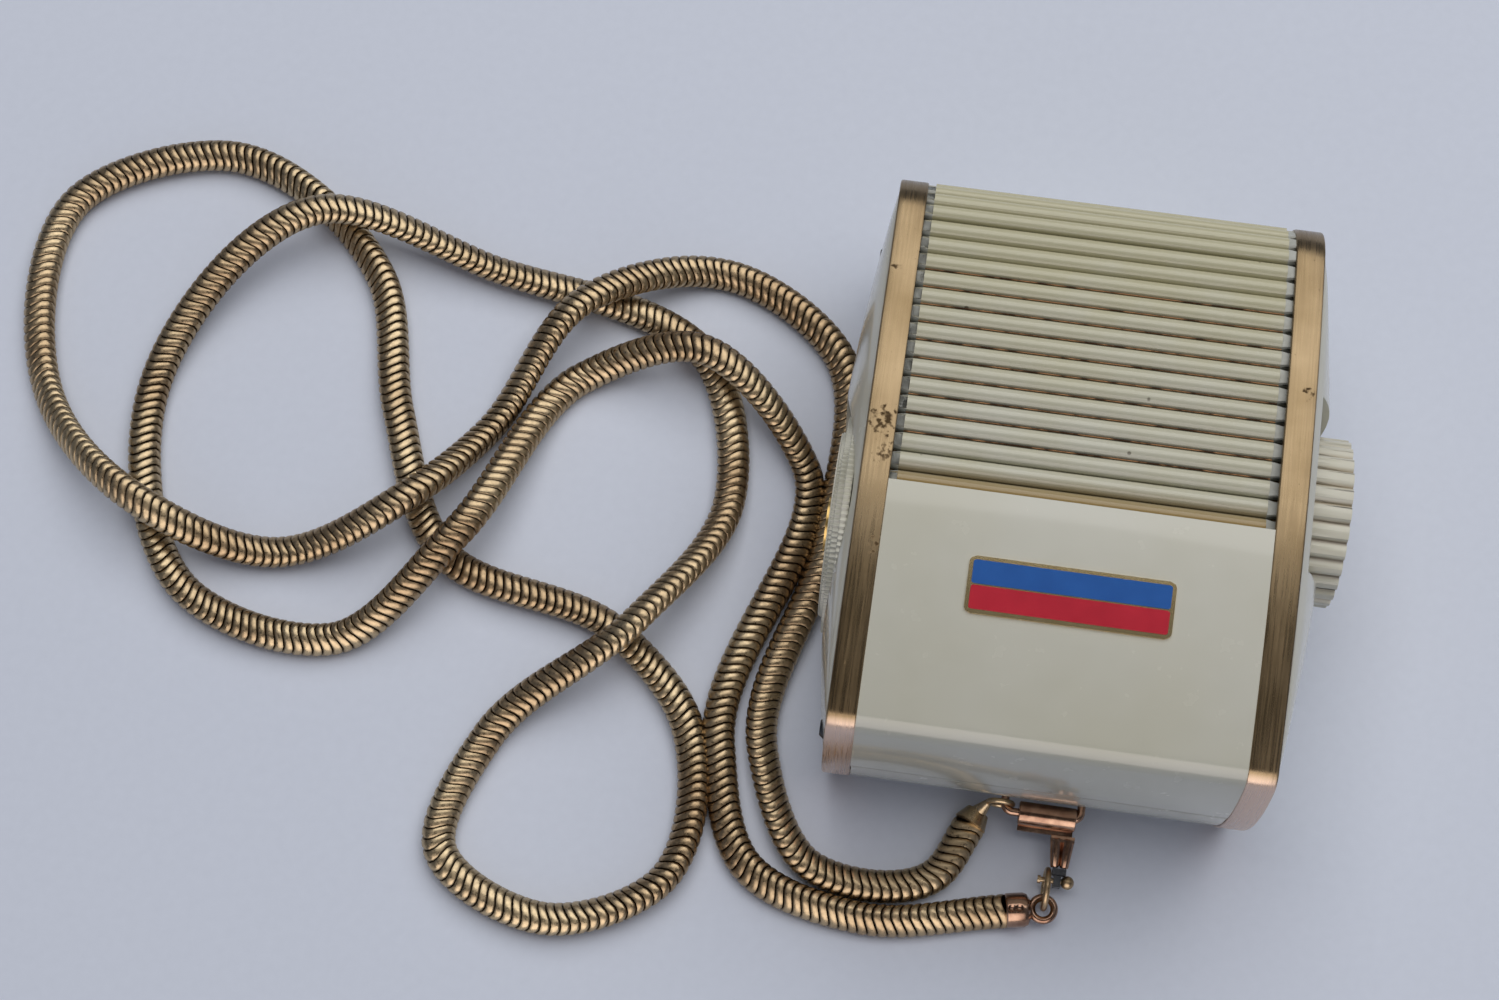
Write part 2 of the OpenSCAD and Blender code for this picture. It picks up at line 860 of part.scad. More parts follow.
// Selenium plate under the lens.
module cell_plate() {
  color("darkslategray")
    block([-lens_half_w, cell_y0 + frame_wall, cell_seat_z], [lens_half_w, cell_y1 - frame_wall, lens_z]);
}

// Moulded tray that holds the cell and the lens between the side plates.
module cell_frame() {
  color("dimgray") {
    difference() {
      intersection() {
        block([-lens_half_w - frame_wall, cell_y0, cell_floor_z],
          [lens_half_w + frame_wall, cell_y1, lens_z + 1.3]);
        translate([-half_w, blind_y, blind_z])
          rotate([0, 90, 0])
            cylinder(h = case_w, r = blind_under_r, $fn = 360);
      }
      block([-lens_half_w, cell_y0 + frame_wall, cell_seat_z],
        [lens_half_w, cell_y1 - frame_wall, case_h]);
      block([-12, cell_y0 + 5, cell_floor_z - 1], [12, cell_y1 - 5, case_h]);
    }
    for (side = [0, 1])
      mirror([side, 0, 0])
        block([lens_half_w + frame_wall - 0.1, cell_y0 + 4, cell_floor_z],
          [plate_x, cell_y1 - 4, cell_floor_z + 1.6]);
  }
}

// Leaf contact from the cell frame to the deck.
module cell_contact() {
  color("peru") {
    block([-2, deck_y1 - 2, deck_z + deck_t], [2, cell_y0, deck_z + deck_t + 0.3]);
    block([-2, cell_y0 - 0.5, deck_z + deck_t], [2, cell_y0, cell_floor_z + 1.5]);
  }
}

// Ring magnet of the movement.
module magnet() {
  color("slategray")
    difference() {
      pin_x(bridge_x, magnet_x1, move_y, move_z, magnet_r);
      pin_x(bridge_x - 1, magnet_x1 + 1, move_y, move_z, magnet_bore_r);
    }
}

// Soft iron core with the cross bar that holds it in the magnet.
module pole_core() {
  color("gray") {
    pin_x(coil_x0 + coil_bar + 0.3, coil_x1 - coil_bar - 0.3, move_y, move_z, core_r);
    rod([(coil_x0 + coil_x1) / 2, move_y, move_z - magnet_bore_r + 0.12],
      [(coil_x0 + coil_x1) / 2, move_y, move_z + magnet_bore_r - 0.12], 1, 1);
  }
}

// Turns its children about the movement axis to the resting place of the needle.
module at_rest() {
  translate([0, move_y, move_z])
    rotate([-needle_rest_deg, 0, 0])
      translate([0, -move_y, -move_z])
        children();
}

// Rectangular coil round the core.
module moving_coil() {
  color("chocolate")
    at_rest() difference() {
      block([coil_x0, move_y - coil_out, move_z - coil_w / 2],
        [coil_x1, move_y + coil_out, move_z + coil_w / 2]);
      block([coil_x0 + coil_bar, move_y - coil_in, move_z - coil_w],
        [coil_x1 - coil_bar, move_y + coil_in, move_z + coil_w]);
    }
}

// Two half staffs on the coil ends.
module pivot_staff() {
  color("silver") {
    pin_x(needle_x - 0.3, coil_x0, move_y, move_z, staff_r);
    pin_x(coil_x1, magnet_x1 + 0.7, move_y, move_z, staff_r);
  }
}

// Needle with its hub and tail.
module needle() {
  color("black")
    at_rest() difference() {
      union() {
        pin_x(needle_x - 0.15, needle_x + 0.15, move_y, move_z, 1.1);
        block([needle_x - 0.08, move_y, move_z - 0.2], [needle_x + 0.08, move_y + needle_l, move_z + 0.2]);
        block([needle_x - 0.08, move_y - 2, move_z - 0.3], [needle_x + 0.08, move_y, move_z + 0.3]);
      }
      pin_x(needle_x - 1, needle_x + 1, move_y, move_z, staff_r);
    }
}

// Flat springs on the two half staffs.
module hairsprings() {
  color("orange")
    for (x = [coil_x0 - 0.5, coil_x1 + 0.3])
      difference() {
        pin_x(x, x + 0.15, move_y, move_z, 2.4);
        pin_x(x - 1, x + 1, move_y, move_z, staff_r);
      }
}

// Bridge over the front of the movement, seated on the side plate.
module front_bridge() {
  color("goldenrod")
    difference() {
      block([-plate_x, move_y - 1.5, chamber_z0 - 3], [bridge_x, move_y + 1.5, chamber_z1 + 0.5]);
      pin_x(-plate_x - 1, bridge_x + 1, move_y, move_z, jewel_r + seat_clear);
    }
}

// Bridge across the back of the magnet.
module rear_bridge() {
  color("goldenrod")
    difference() {
      block([magnet_x1, move_y - 1.5, move_z - 7.6], [magnet_x1 + bridge_t, move_y + 1.5, move_z + 7.6]);
      pin_x(magnet_x1 - 1, magnet_x1 + 3, move_y, move_z, jewel_r + seat_clear);
    }
}

// Bearing screws in the two bridges.
module jewel_screws() {
  color("brown") {
    difference() {
      pin_x(-plate_x, bridge_x, move_y, move_z, jewel_r);
      pin_x(-plate_x - 1, bridge_x + 1, move_y, move_z, staff_r + turn_clear);
    }
    difference() {
      pin_x(magnet_x1, magnet_x1 + bridge_t + 0.6, move_y, move_z, jewel_r);
      pin_x(magnet_x1 - 1, magnet_x1 + bridge_t, move_y, move_z, staff_r + turn_clear);
    }
  }
}

// Slotted zero screw in the flat back.
module zero_screw() {
  color("silver")
    difference() {
      union() {
        translate([zero_x, move_y, shell_inset + 0.1])
          cylinder(h = back_in - shell_inset, r = zero_r);
        translate([zero_x, move_y, back_in + 0.1])
          cylinder(h = 0.8, r = zero_r + 0.8);
        translate([zero_x + 0.8, move_y, back_in + 0.8])
          cylinder(h = 2.5, r = 0.4);
      }
      translate([zero_x - 3, move_y - 0.2, 0])
        cube([6, 0.4, shell_inset + 0.5]);
    }
}

// Stepped calculator disc; its rim is turned by the thumb.
module calculator_disc() {
  color("ivory")
    difference() {
      union() {
        pin_x(-(half_w + 1.4), -(pocket_x + 0.1), disc_y, disc_z, disc_r);
        pin_x(-(half_w + 2.1), -(half_w + 1.4), disc_y, disc_z, disc_r - 1.7);
        pin_x(-(half_w + 2.5), -(half_w + 2.1), disc_y, disc_z, disc_r - 3);
      }
      pin_x(-half_w - 10, 0, disc_y, disc_z, post_r + turn_clear);
    }
}

// Plain metal face of the disc.
module dial_insert() {
  color("gold")
    difference() {
      pin_x(-(half_w + 2.65), -(half_w + 2.5), disc_y, disc_z, disc_r - 4);
      pin_x(-half_w - 10, 0, disc_y, disc_z, post_r + 1.4);
    }
}

// Post the disc turns on, fixed in the cover.
module disc_post() {
  color("goldenrod")
    difference() {
      pin_x(-(half_w + 2.55), -face_x, disc_y, disc_z, post_r);
      pin_x(-half_w - 10, 0, disc_y, disc_z, 0.8 + seat_clear);
    }
}

// Slotted screw that keeps the disc on its post.
module disc_screw() {
  color("goldenrod")
    difference() {
      union() {
        pin_x(-(half_w + 3.1), -(half_w + 2.55), disc_y, disc_z, post_r + 1);
        pin_x(-(half_w + 2.55), -face_x, disc_y, disc_z, 0.8);
      }
      block([-(half_w + 4), disc_y - 4, disc_z - 0.25], [-(half_w + 2.85), disc_y + 4, disc_z + 0.25]);
    }
}

// Ribbed knob on the far side of the case.
module film_knob() {
  color("ivory")
    difference() {
      union() {
        pin_x(knob_seat, knob_seat + knob_t, knob_y, knob_z, knob_r - rib_r);
        for (i = [0 : knob_ribs - 1])
          pin_x(knob_seat, knob_seat + knob_t, knob_y + (knob_r - rib_r) * cos(i * 360 / knob_ribs),
            knob_z + (knob_r - rib_r) * sin(i * 360 / knob_ribs), rib_r);
      }
      pin_x(knob_seat - 1, knob_seat + knob_t - 0.4, knob_y, knob_z, knob_shaft_r);
      pin_x(knob_seat + knob_t - 0.15, knob_seat + knob_t + 1, knob_y, knob_z, knob_r - 2.4);
    }
}

// Plain inlay in the knob face.
module knob_cap() {
  color("gold")
    pin_x(knob_seat + knob_t - 0.15, knob_seat + knob_t, knob_y, knob_z, knob_r - 2.4 - seat_clear);
}

// Shaft of the knob, through the cover and the side plate.
module knob_shaft() {
  color("silver")
    difference() {
      pin_x(shaft_end_x, knob_seat + knob_t - 0.4, knob_y, knob_z, knob_shaft_r);
      difference() {
        pin_x(plate_x - 0.85, plate_x - 0.15, knob_y, knob_z, knob_shaft_r + 1);
        pin_x(plate_x - 2, plate_x, knob_y, knob_z, knob_shaft_r - 0.4);
      }
    }
}

// Ring clip in the shaft groove.
module knob_clip() {
  color("gray")
    difference() {
      pin_x(plate_x - 0.8, plate_x - 0.2, knob_y, knob_z, knob_shaft_r + 1);
      pin_x(plate_x - 2, plate_x, knob_y, knob_z, knob_shaft_r - 0.4);
    }
}

// Wound resistor round the shaft, on the side plate.
module resistor_ring() {
  color("sienna")
    difference() {
      pin_x(plate_x - ring_l, plate_x, knob_y, knob_z, ring_r);
      pin_x(plate_x - ring_l - 1, plate_x + 1, knob_y, knob_z, ring_bore_r);
    }
}

// Wiper that turns with the shaft over the resistor.
module wiper_arm() {
  color("goldenrod")
    difference() {
      union() {
        pin_x(plate_x - ring_l - 0.6, plate_x - ring_l - 0.1, knob_y, knob_z, knob_shaft_r + 0.9);
        block([plate_x - ring_l - 0.6, knob_y - 0.8, knob_z], [plate_x - ring_l - 0.1, knob_y + 0.8, knob_z + ring_r - 0.6]);
      }
      pin_x(shaft_end_x, plate_x, knob_y, knob_z, knob_shaft_r);
    }
}

// Quarter bend of the bail wire.
module bail_corner(x, side) {
  translate([x - side * bail_bend, bail_y + bail_bend, bail_z])
    intersection() {
      rotate_extrude()
        translate([bail_bend, 0])
          circle(bail_wire_r);
      translate([side > 0 ? 0 : -2, -2, -1])
        cube([2, 2, 2]);
    }
}

// Wire bail whose legs run into the near end, with its anchor plate inside.
module bail_wire() {
  color("rosybrown") {
    for (x = [bail_x0, bail_x1])
      rod([x, bail_y + bail_bend, bail_z], [x, bail_y + 4.5, bail_z], bail_wire_r, bail_wire_r);
    bail_corner(bail_x0, -1);
    bail_corner(bail_x1, 1);
    pin_x(bail_x0 + bail_bend, bail_x1 - bail_bend, bail_y, bail_z, bail_wire_r);
    block([bail_x0 - 1, bail_y + 4.1, bail_z - 1.2], [bail_x1 + 1, bail_y + 4.9, bail_z + 1.2]);
  }
}

// Rolled barrel of the clasp with its flat tail.
module clasp_barrel() {
  color("rosybrown")
    difference() {
      union() {
        pin_x(barrel_x0, barrel_x1, bail_y, bail_z, barrel_r);
        block([barrel_x0 + 0.1, bail_y - 1.8, bail_z - barrel_r], [barrel_x1 - 0.1, bail_y, bail_z - barrel_r + 0.5]);
      }
      pin_x(barrel_x0 - 1, barrel_x1 + 1, bail_y, bail_z, bail_wire_r + turn_clear);
    }
}

// Two tapered prongs and their root.
module clasp_hook() {
  color("rosybrown") {
    block([hook_x - 1.3, hook_root_y - 0.7, bail_z - barrel_r - 0.4], [hook_x + 1.3, hook_root_y, bail_z - barrel_r + 0.7]);
    for (side = [-1, 1])
      rod([hook_x + side * 0.65, hook_root_y - 0.4, bail_z - barrel_r + 0.2],
        [hook_x + side * 0.5, hook_tip_y + 0.1, 3], 0.62, 0.48);
  }
}

// Swivel block and the lug that holds the pin.
module clasp_swivel() {
  color("dimgray")
    difference() {
      union() {
        block([hook_x - 0.7, hook_tip_y - 0.7, 2.4], [hook_x + 0.8, hook_tip_y, 3.6]);
        block([hook_x - 0.45, pin_y - 0.7, 2], [hook_x + 0.35, hook_tip_y - 0.3, 3.3]);
      }
      pin_x(hook_x - 2, hook_x + 2, pin_y, 2.6, pin_r);
    }
}

// Cross pin with a small head and a ball.
module clasp_pin() {
  color("rosybrown") {
    pin_x(link_c[0] - 0.8, hook_x + 0.8, pin_y, 2.6, pin_r);
    pin_x(link_c[0] - 1, link_c[0] - 0.7, pin_y, 2.6, pin_r + 0.15);
    translate([hook_x + 1.1, pin_y, 2.6])
      sphere(r = 0.75);
  }
}

// Ring that links the clasp to the first ferrule.
module jump_ring() {
  color("goldenrod")
    translate(link_c)
      rotate([0, 90, 0])
        rotate_extrude()
          translate([link_r, 0])
            circle(link_wire_r);
}

// Ferrule and eye at the start of the chain.
module ferrule_a() {
  color("rosybrown") {
    rod([start_p[0], start_p[1], ferrule_r], [start_p[0], start_p[1], ferrule_r] + 2.7 * start_dir, ferrule_r, ferrule_r);
    translate(eye_a)
      rotate_extrude()
        translate([1.25, 0])
          circle(0.42);
  }
}

// Ferrule at the end of the chain, with a neck up to its ring on the bail.
module ferrule_b() {
  foot = [finish_p[0], finish_p[1], ferrule_r];
  waist = foot + 1.6 * finish_dir;
  color("rosybrown") {
    rod(foot, waist, ferrule_r, 1.3);
    rod(waist - 0.3 * finish_dir, [eye_b[0] - 1.3, eye_b[1], eye_b[2] - 0.5], 1, 0.4);
    translate(eye_b)
      rotate([90, 0, 0])
        rotate_extrude()
          translate([1.3, 0])
            circle(0.32);
  }
}

// Chain as one smooth tube laid along the route.
module chain() {
  color("goldenrod")
    polyhedron(
      points = [for (j = [0 : RINGS - 1], s = [0 : tube_sides - 1])
        CENTRES[j] + chain_r * (cos(s * 360 / tube_sides + 22.5) * sideways(j)
          + sin(s * 360 / tube_sides + 22.5) * upward(j))],
      faces = concat(
        [[for (s = [0 : tube_sides - 1]) s]],
        [for (j = [0 : RINGS - 2], s = [0 : tube_sides - 1])
          [j * tube_sides + s, (j + 1) * tube_sides + s,
            (j + 1) * tube_sides + (s + 1) % tube_sides, j * tube_sides + (s + 1) % tube_sides]],
        [[for (s = [tube_sides - 1 : -1 : 0]) (RINGS - 1) * tube_sides + s]]));
}

front_shell();
back_shell();
band(-1);  // left_band
band(1);  // right_band
left_plate();
right_plate();
left_face();
right_face();
scale_window();
scale_plate();
badge_plate();
badge_enamel();
face_screws();
back_screws();
tie_rods();
pillars();
deck();
terminal_strip();
blind_slats();
blind_ribbon();
corner_slats();
end_ribbon();
lens_panel();
cell_plate();
cell_frame();
cell_contact();
magnet();
pole_core();
moving_coil();
pivot_staff();
needle();
hairsprings();
front_bridge();
rear_bridge();
jewel_screws();
zero_screw();
calculator_disc();
dial_insert();
disc_post();
disc_screw();
film_knob();
knob_cap();
knob_shaft();
knob_clip();
resistor_ring();
wiper_arm();
bail_wire();
clasp_barrel();
clasp_hook();
clasp_swivel();
clasp_pin();
jump_ring();
ferrule_a();
ferrule_b();
chain();
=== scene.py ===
import math

import bpy
from mathutils import Matrix, Vector


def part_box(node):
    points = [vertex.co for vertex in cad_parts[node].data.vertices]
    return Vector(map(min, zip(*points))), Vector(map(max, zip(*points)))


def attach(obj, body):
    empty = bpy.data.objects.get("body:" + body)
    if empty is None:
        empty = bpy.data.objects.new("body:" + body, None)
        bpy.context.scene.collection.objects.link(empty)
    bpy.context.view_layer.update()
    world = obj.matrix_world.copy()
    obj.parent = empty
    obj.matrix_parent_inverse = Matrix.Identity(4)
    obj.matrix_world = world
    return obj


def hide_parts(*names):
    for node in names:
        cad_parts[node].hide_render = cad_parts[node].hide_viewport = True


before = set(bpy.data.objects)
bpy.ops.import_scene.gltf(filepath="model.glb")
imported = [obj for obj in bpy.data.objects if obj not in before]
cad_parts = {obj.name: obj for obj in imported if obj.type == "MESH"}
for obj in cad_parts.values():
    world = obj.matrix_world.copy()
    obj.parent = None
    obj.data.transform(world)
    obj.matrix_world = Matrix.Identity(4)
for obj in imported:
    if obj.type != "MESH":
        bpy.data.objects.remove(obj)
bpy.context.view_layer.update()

# Camera. It stands above the chain end of the case and looks down at it, a
# little from the dial side, with a normal lens on a 36 mm frame.
camera = bpy.data.objects.new("viewing_camera", bpy.data.cameras.new("viewing_camera"))
bpy.context.scene.collection.objects.link(camera)
camera_right = Vector((0.98940, 0.14413, -0.01763)).normalized()
camera_up = Vector((-0.13315, 0.94907, 0.28551)).normalized()
camera_back = camera_right.cross(camera_up)
camera_place = Matrix.Translation((-0.018572, -0.082950, 0.284542))
camera.matrix_world = camera_place @ Matrix((camera_right, camera_up, camera_back)).transposed().to_4x4()
camera.data.sensor_width = 36
camera.data.lens = 61.41
camera.data.clip_start = 0.01
bpy.context.scene.camera = camera


# Neck chain. A snake chain of oval brass links, each stamped with a wavy edge
# that nests under the next one. It is aged brass, with the gaps between the links
# painted almost black as painted shade, and lies on the table with seven crossings.
CHAIN_LAY = 0.00165
CHAIN_HUMP = 0.0058
CHAIN_POINTS = [
    Vector(p)
    for p in (
        (-0.001, -0.043, CHAIN_LAY), (-0.017, -0.046, CHAIN_LAY), (-0.030, -0.042, CHAIN_LAY),
        (-0.035, -0.029, CHAIN_LAY), (-0.030, 0.005, CHAIN_LAY), (-0.044, 0.016, CHAIN_HUMP),
        (-0.057, 0.012, CHAIN_LAY), (-0.068, -0.010, CHAIN_HUMP), (-0.080, -0.023, CHAIN_LAY),
        (-0.098, -0.020, CHAIN_LAY), (-0.107, 0.004, CHAIN_LAY), (-0.091, 0.027, CHAIN_HUMP),
        (-0.070, 0.024, CHAIN_LAY), (-0.042, 0.015, CHAIN_LAY), (-0.038, -0.001, CHAIN_LAY),
        (-0.046, -0.017, CHAIN_HUMP), (-0.061, -0.032, CHAIN_LAY), (-0.064, -0.045, CHAIN_LAY),
        (-0.051, -0.051, CHAIN_LAY), (-0.039, -0.045, CHAIN_LAY), (-0.039, -0.027, CHAIN_LAY),
        (-0.048, -0.018, CHAIN_LAY), (-0.070, -0.011, CHAIN_LAY), (-0.078, 0.005, CHAIN_LAY),
        (-0.083, 0.021, CHAIN_LAY), (-0.104, 0.034, CHAIN_LAY), (-0.121, 0.026, CHAIN_LAY),
        (-0.120, 0.003, CHAIN_LAY), (-0.105, -0.011, CHAIN_HUMP), (-0.089, -0.014, CHAIN_LAY),
        (-0.074, -0.006, CHAIN_HUMP), (-0.067, 0.004, CHAIN_LAY), (-0.058, 0.020, CHAIN_HUMP),
        (-0.043, 0.027, CHAIN_LAY), (-0.028, 0.019, CHAIN_LAY), (-0.026, -0.003, CHAIN_LAY),
        (-0.030, -0.029, CHAIN_LAY), (-0.023, -0.041, CHAIN_LAY), (-0.009, -0.040, CHAIN_LAY),
        (-0.006, -0.034, CHAIN_LAY),
    )
]
CHAIN_SPANS = [(b - a).length for a, b in zip(CHAIN_POINTS, CHAIN_POINTS[1:])]


def chain_slope(i):
    """Direction of the chain at a route point, weighted by the spans beside it."""
    if i == 0:
        return (CHAIN_POINTS[1] - CHAIN_POINTS[0]) / CHAIN_SPANS[0]
    if i == len(CHAIN_POINTS) - 1:
        return (CHAIN_POINTS[i] - CHAIN_POINTS[i - 1]) / CHAIN_SPANS[i - 1]
    before, after = CHAIN_SPANS[i - 1], CHAIN_SPANS[i]
    return (
        (CHAIN_POINTS[i] - CHAIN_POINTS[i - 1]) * after / before
        + (CHAIN_POINTS[i + 1] - CHAIN_POINTS[i]) * before / after
    ) / (before + after)


def chain_between(i, t):
    """Point on the smooth route between route points i and i + 1, never under the table."""
    p = (
        (2 * t**3 - 3 * t**2 + 1) * CHAIN_POINTS[i]
        + (t**3 - 2 * t**2 + t) * CHAIN_SPANS[i] * chain_slope(i)
        + (3 * t**2 - 2 * t**3) * CHAIN_POINTS[i + 1]
        + (t**3 - t**2) * CHAIN_SPANS[i] * chain_slope(i + 1)
    )
    return Vector((p.x, p.y, max(p.z, CHAIN_LAY)))


SPAN_STEPS = 60
route = [
    chain_between(i, k / SPAN_STEPS)
    for i in range(len(CHAIN_SPANS))
    for k in range(SPAN_STEPS)
] + [CHAIN_POINTS[-1]]
reached = [0.0]
for a, b in zip(route, route[1:]):
    reached.append(reached[-1] + (b - a).length)
chain_length = reached[-1]


def chain_at(distance):
    """Point of the route at a distance from its start."""
    distance = min(max(distance, 0.0), chain_length)
    low, high = 0, len(reached) - 1
    while high - low > 1:
        middle = (low + high) // 2
        if reached[middle] <= distance:
            low = middle
        else:
            high = middle
    share = (distance - reached[low]) / max(reached[high] - reached[low], 1e-9)
    return route[low].lerp(route[high], share)


LINK_PITCH = 0.00103
LINK_HALF_WIDTH = 0.00190
LINK_HALF_HEIGHT = 0.00138
LINK_WAVE = 0.00042
LINK_SIDES = 16
LINK_LOOK = 0.0006
# The chain rolls to and fro as it lies: how far in radians, and over what length.
ROLL_LONG, ROLL_LONG_OVER, ROLL_START = 0.42, 0.118, 0.6
ROLL_SHORT, ROLL_SHORT_OVER = 0.22, 0.047
# Along one link: share of the pitch, share of the full section, share of painted shade that darkens the gap
# between links.
LINK_RINGS = (
    (0.00, 0.80, 1.0), (0.08, 0.965, 0.3), (0.30, 1.0, 0.0), (0.74, 0.985, 0.05), (0.92, 0.92, 0.6),
)
link_count = round(chain_length / LINK_PITCH)
chain_verts, chain_faces, chain_gap_shade, chain_path = [], [], [], []
for i in range(link_count):
    for share, size, depth in LINK_RINGS:
        distance = (i + share) * chain_length / link_count
        ahead = (chain_at(distance + LINK_LOOK) - chain_at(distance - LINK_LOOK)).normalized()
        aside = ahead.cross(Vector((0, 0, 1))).normalized()
        above = aside.cross(ahead)
        roll = ROLL_LONG * math.sin(distance * 2 * math.pi / ROLL_LONG_OVER + ROLL_START)
        roll += ROLL_SHORT * math.sin(distance * 2 * math.pi / ROLL_SHORT_OVER)
        half_high = math.hypot(LINK_HALF_HEIGHT * math.cos(roll), LINK_HALF_WIDTH * math.sin(roll))
        centre = chain_at(distance) + Vector((0, 0, half_high - CHAIN_LAY))
        wide = math.cos(roll) * aside + math.sin(roll) * above
        tall = math.cos(roll) * above - math.sin(roll) * aside
        chain_path.append(centre)
        for k in range(LINK_SIDES):
            around = 2 * math.pi * k / LINK_SIDES
            chain_verts.append(
                centre
                + size * LINK_HALF_WIDTH * math.cos(around) * wide
                + size * LINK_HALF_HEIGHT * math.sin(around) * tall
                + LINK_WAVE * math.sin(2 * around) * ahead
            )
            chain_gap_shade.append(depth)
ring_total = len(chain_path)
for j in range(ring_total - 1):
    for k in range(LINK_SIDES):
        here, right = j * LINK_SIDES + k, j * LINK_SIDES + (k + 1) % LINK_SIDES
        chain_faces.append((here, here + LINK_SIDES, right + LINK_SIDES, right))
chain_faces.append(tuple(range(LINK_SIDES)))
chain_faces.append(tuple(reversed(range((ring_total - 1) * LINK_SIDES, ring_total * LINK_SIDES))))
chain_mesh = bpy.data.meshes.new("neck_chain")
chain_mesh.from_pydata(chain_verts, [], chain_faces)
chain_mesh.attributes.new("link_gap_shade", "FLOAT", "POINT").data.foreach_set("value", chain_gap_shade)
neck_chain = bpy.data.objects.new("neck_chain", chain_mesh)
bpy.context.scene.collection.objects.link(neck_chain)


def deselect_all():
    """Clears the selection, so that an operator acts only on what is picked or added next."""
    for other in list(bpy.context.selected_objects):
        other.select_set(False)


def only(thing):
    """Selects one object alone and makes it active, because operators act on the selection."""
    deselect_all()
    thing.select_set(True)
    bpy.context.view_layer.objects.active = thing
    return thing


def smooth(thing, degrees):
    """Shades a piece smooth and keeps its edges sharper than the angle crisp."""
    only(thing)
    bpy.ops.object.shade_smooth_by_angle(angle=math.radians(degrees))


only(neck_chain)
bpy.ops.object.mode_set(mode="EDIT")
bpy.ops.mesh.select_all(action="SELECT")
bpy.ops.mesh.normals_make_consistent(inside=False)
bpy.ops.object.mode_set(mode="OBJECT")
smooth(neck_chain, 38)


def linear(code):
    """Turns an sRGB hex colour into the linear colour that a shader takes."""
    shares = [int(code[i : i + 2], 16) / 255 for i in (1, 3, 5)]
    return [s / 12.92 if s <= 0.04045 else ((s + 0.055) / 1.055) ** 2.4 for s in shares] + [1.0]


def add_node(tree, kind, settings, links):
    """Adds a shader node, with its settings by property or socket and its incoming links."""
    made = tree.nodes.new("ShaderNode" + kind)
    for key, value in settings.items():
        if isinstance(key, str) and hasattr(made, key):
            setattr(made, key, value)
        else:
            made.inputs[key].default_value = value
    for key, source in links.items():
        tree.links.new(source, made.inputs[key])
    return made


def new_finish(name, sockets):
    """Starts a material with these values on its shader, and returns it with its node tree and shader."""
    material = bpy.data.materials.new(name)
    material.use_nodes = True
    shader = material.node_tree.nodes["Principled BSDF"]
    for key, value in sockets.items():
        shader.inputs[key].default_value = value
    return material, material.node_tree, shader


def scale_of(millimetres):
    """Noise scale, on coordinates in metres, whose features are about that size."""
    return 1000 / millimetres


# Aged brass: warm yellow metal, cloudy over a few centimetres where it was handled.
# On the chain it is painted dark brown, almost black, in the gaps between the links: painted shade, so the
# tops of the links stand bright.
aged_brass, tree, shader = new_finish("aged brass", {"Metallic": 1.0})
where = add_node(tree, "TexCoord", {}, {})
cloud = add_node(
    tree, "TexNoise", {"Scale": scale_of(14), "Detail": 3.0}, {"Vector": where.outputs["Object"]}
)
grain = add_node(
    tree, "TexNoise", {"Scale": scale_of(0.35), "Detail": 2.0}, {"Vector": where.outputs["Object"]}
)
depth = add_node(tree, "Attribute", {"attribute_name": "link_gap_shade"}, {})
cloud_share = add_node(
    tree, "MapRange", {"From Min": 0.35, "From Max": 0.65}, {"Value": cloud.outputs["Fac"]}
)
rubbed = add_node(
    tree, "Mix", {"data_type": "RGBA", 6: linear("#BDAA8A"), 7: linear("#A18A6C")},
    {0: cloud_share.outputs["Result"]},
)
# Painted shade: dark brown in the gaps between the chain's links, by the share that each ring of the chain
# carries.
gap_shade = add_node(
    tree, "Mix", {"data_type": "RGBA", 7: linear("#2A2018")}, {0: depth.outputs["Fac"], 6: rubbed.outputs[2]}
)
dulled = add_node(
    tree, "MapRange", {"From Min": 0.3, "From Max": 0.7, "To Min": 0.24, "To Max": 0.44},
    {"Value": grain.outputs["Fac"]},
)
tree.links.new(gap_shade.outputs[2], shader.inputs["Base Color"])
tree.links.new(dulled.outputs["Result"], shader.inputs["Roughness"])
neck_chain.data.materials.append(aged_brass)

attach(neck_chain, "case")
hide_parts("chain")


# Brass bands. Each is a strip bent right round one side of the case, lacquered
# and satin finished along its length, with both edges chamfered. The lacquer
# has failed in a few spots, where the brass went dark. The case's corner over
# the chain end is bent sharper than the far one.
band_low, band_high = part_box("right_band")
CASE_HALF_W = band_high.x
CASE_HALF_L = band_high.y
CASE_H = band_high.z
BAND_W = band_high.x - band_low.x
BAND_T = 0.0009
ARCH_R = 0.127
END_R = 0.042
CORNER_R = 0.0065
NEAR_CORNER_R = 0.0028
BACK_STEPS, FOOT_STEPS, END_STEPS, CORNER_STEPS, ARCH_STEPS = 8, 10, 12, 10, 36


def meeting(centre_a, radius_a, centre_b, radius_b):
    """Upper meeting point of two circles, on the far side of the line between them."""
    line = centre_b - centre_a
    along = line.normalized()
    reach = (radius_a**2 - radius_b**2 + line.length_squared) / (2 * line.length)
    return centre_a + reach * along + math.sqrt(radius_a**2 - reach**2) * Vector((along.y, -along.x))


arch_centre = Vector((0, CASE_H - ARCH_R))
end_centre = Vector((CASE_HALF_L - END_R, CASE_H / 2))
top_corner = meeting(arch_centre, ARCH_R - CORNER_R, end_centre, END_R - CORNER_R)
near_corner = meeting(arch_centre, ARCH_R - NEAR_CORNER_R, end_centre, END_R - NEAR_CORNER_R)
foot_corner = Vector(
    (end_centre.x + math.sqrt((END_R - CORNER_R) ** 2 - (end_centre.y - CORNER_R) ** 2), CORNER_R)
)


def bearing(centre, point):
    """Angle of a point seen from a centre, up from the +y direction, in radians."""
    return math.atan2(point.y - centre.y, point.x - centre.x)


def arc(centre, radius, start, end, count):
    """Points on an arc, the first one left out."""
    turns = [start + (end - start) * k / count for k in range(1, count + 1)]
    return [centre + radius * Vector((math.cos(turn), math.sin(turn))) for turn in turns]


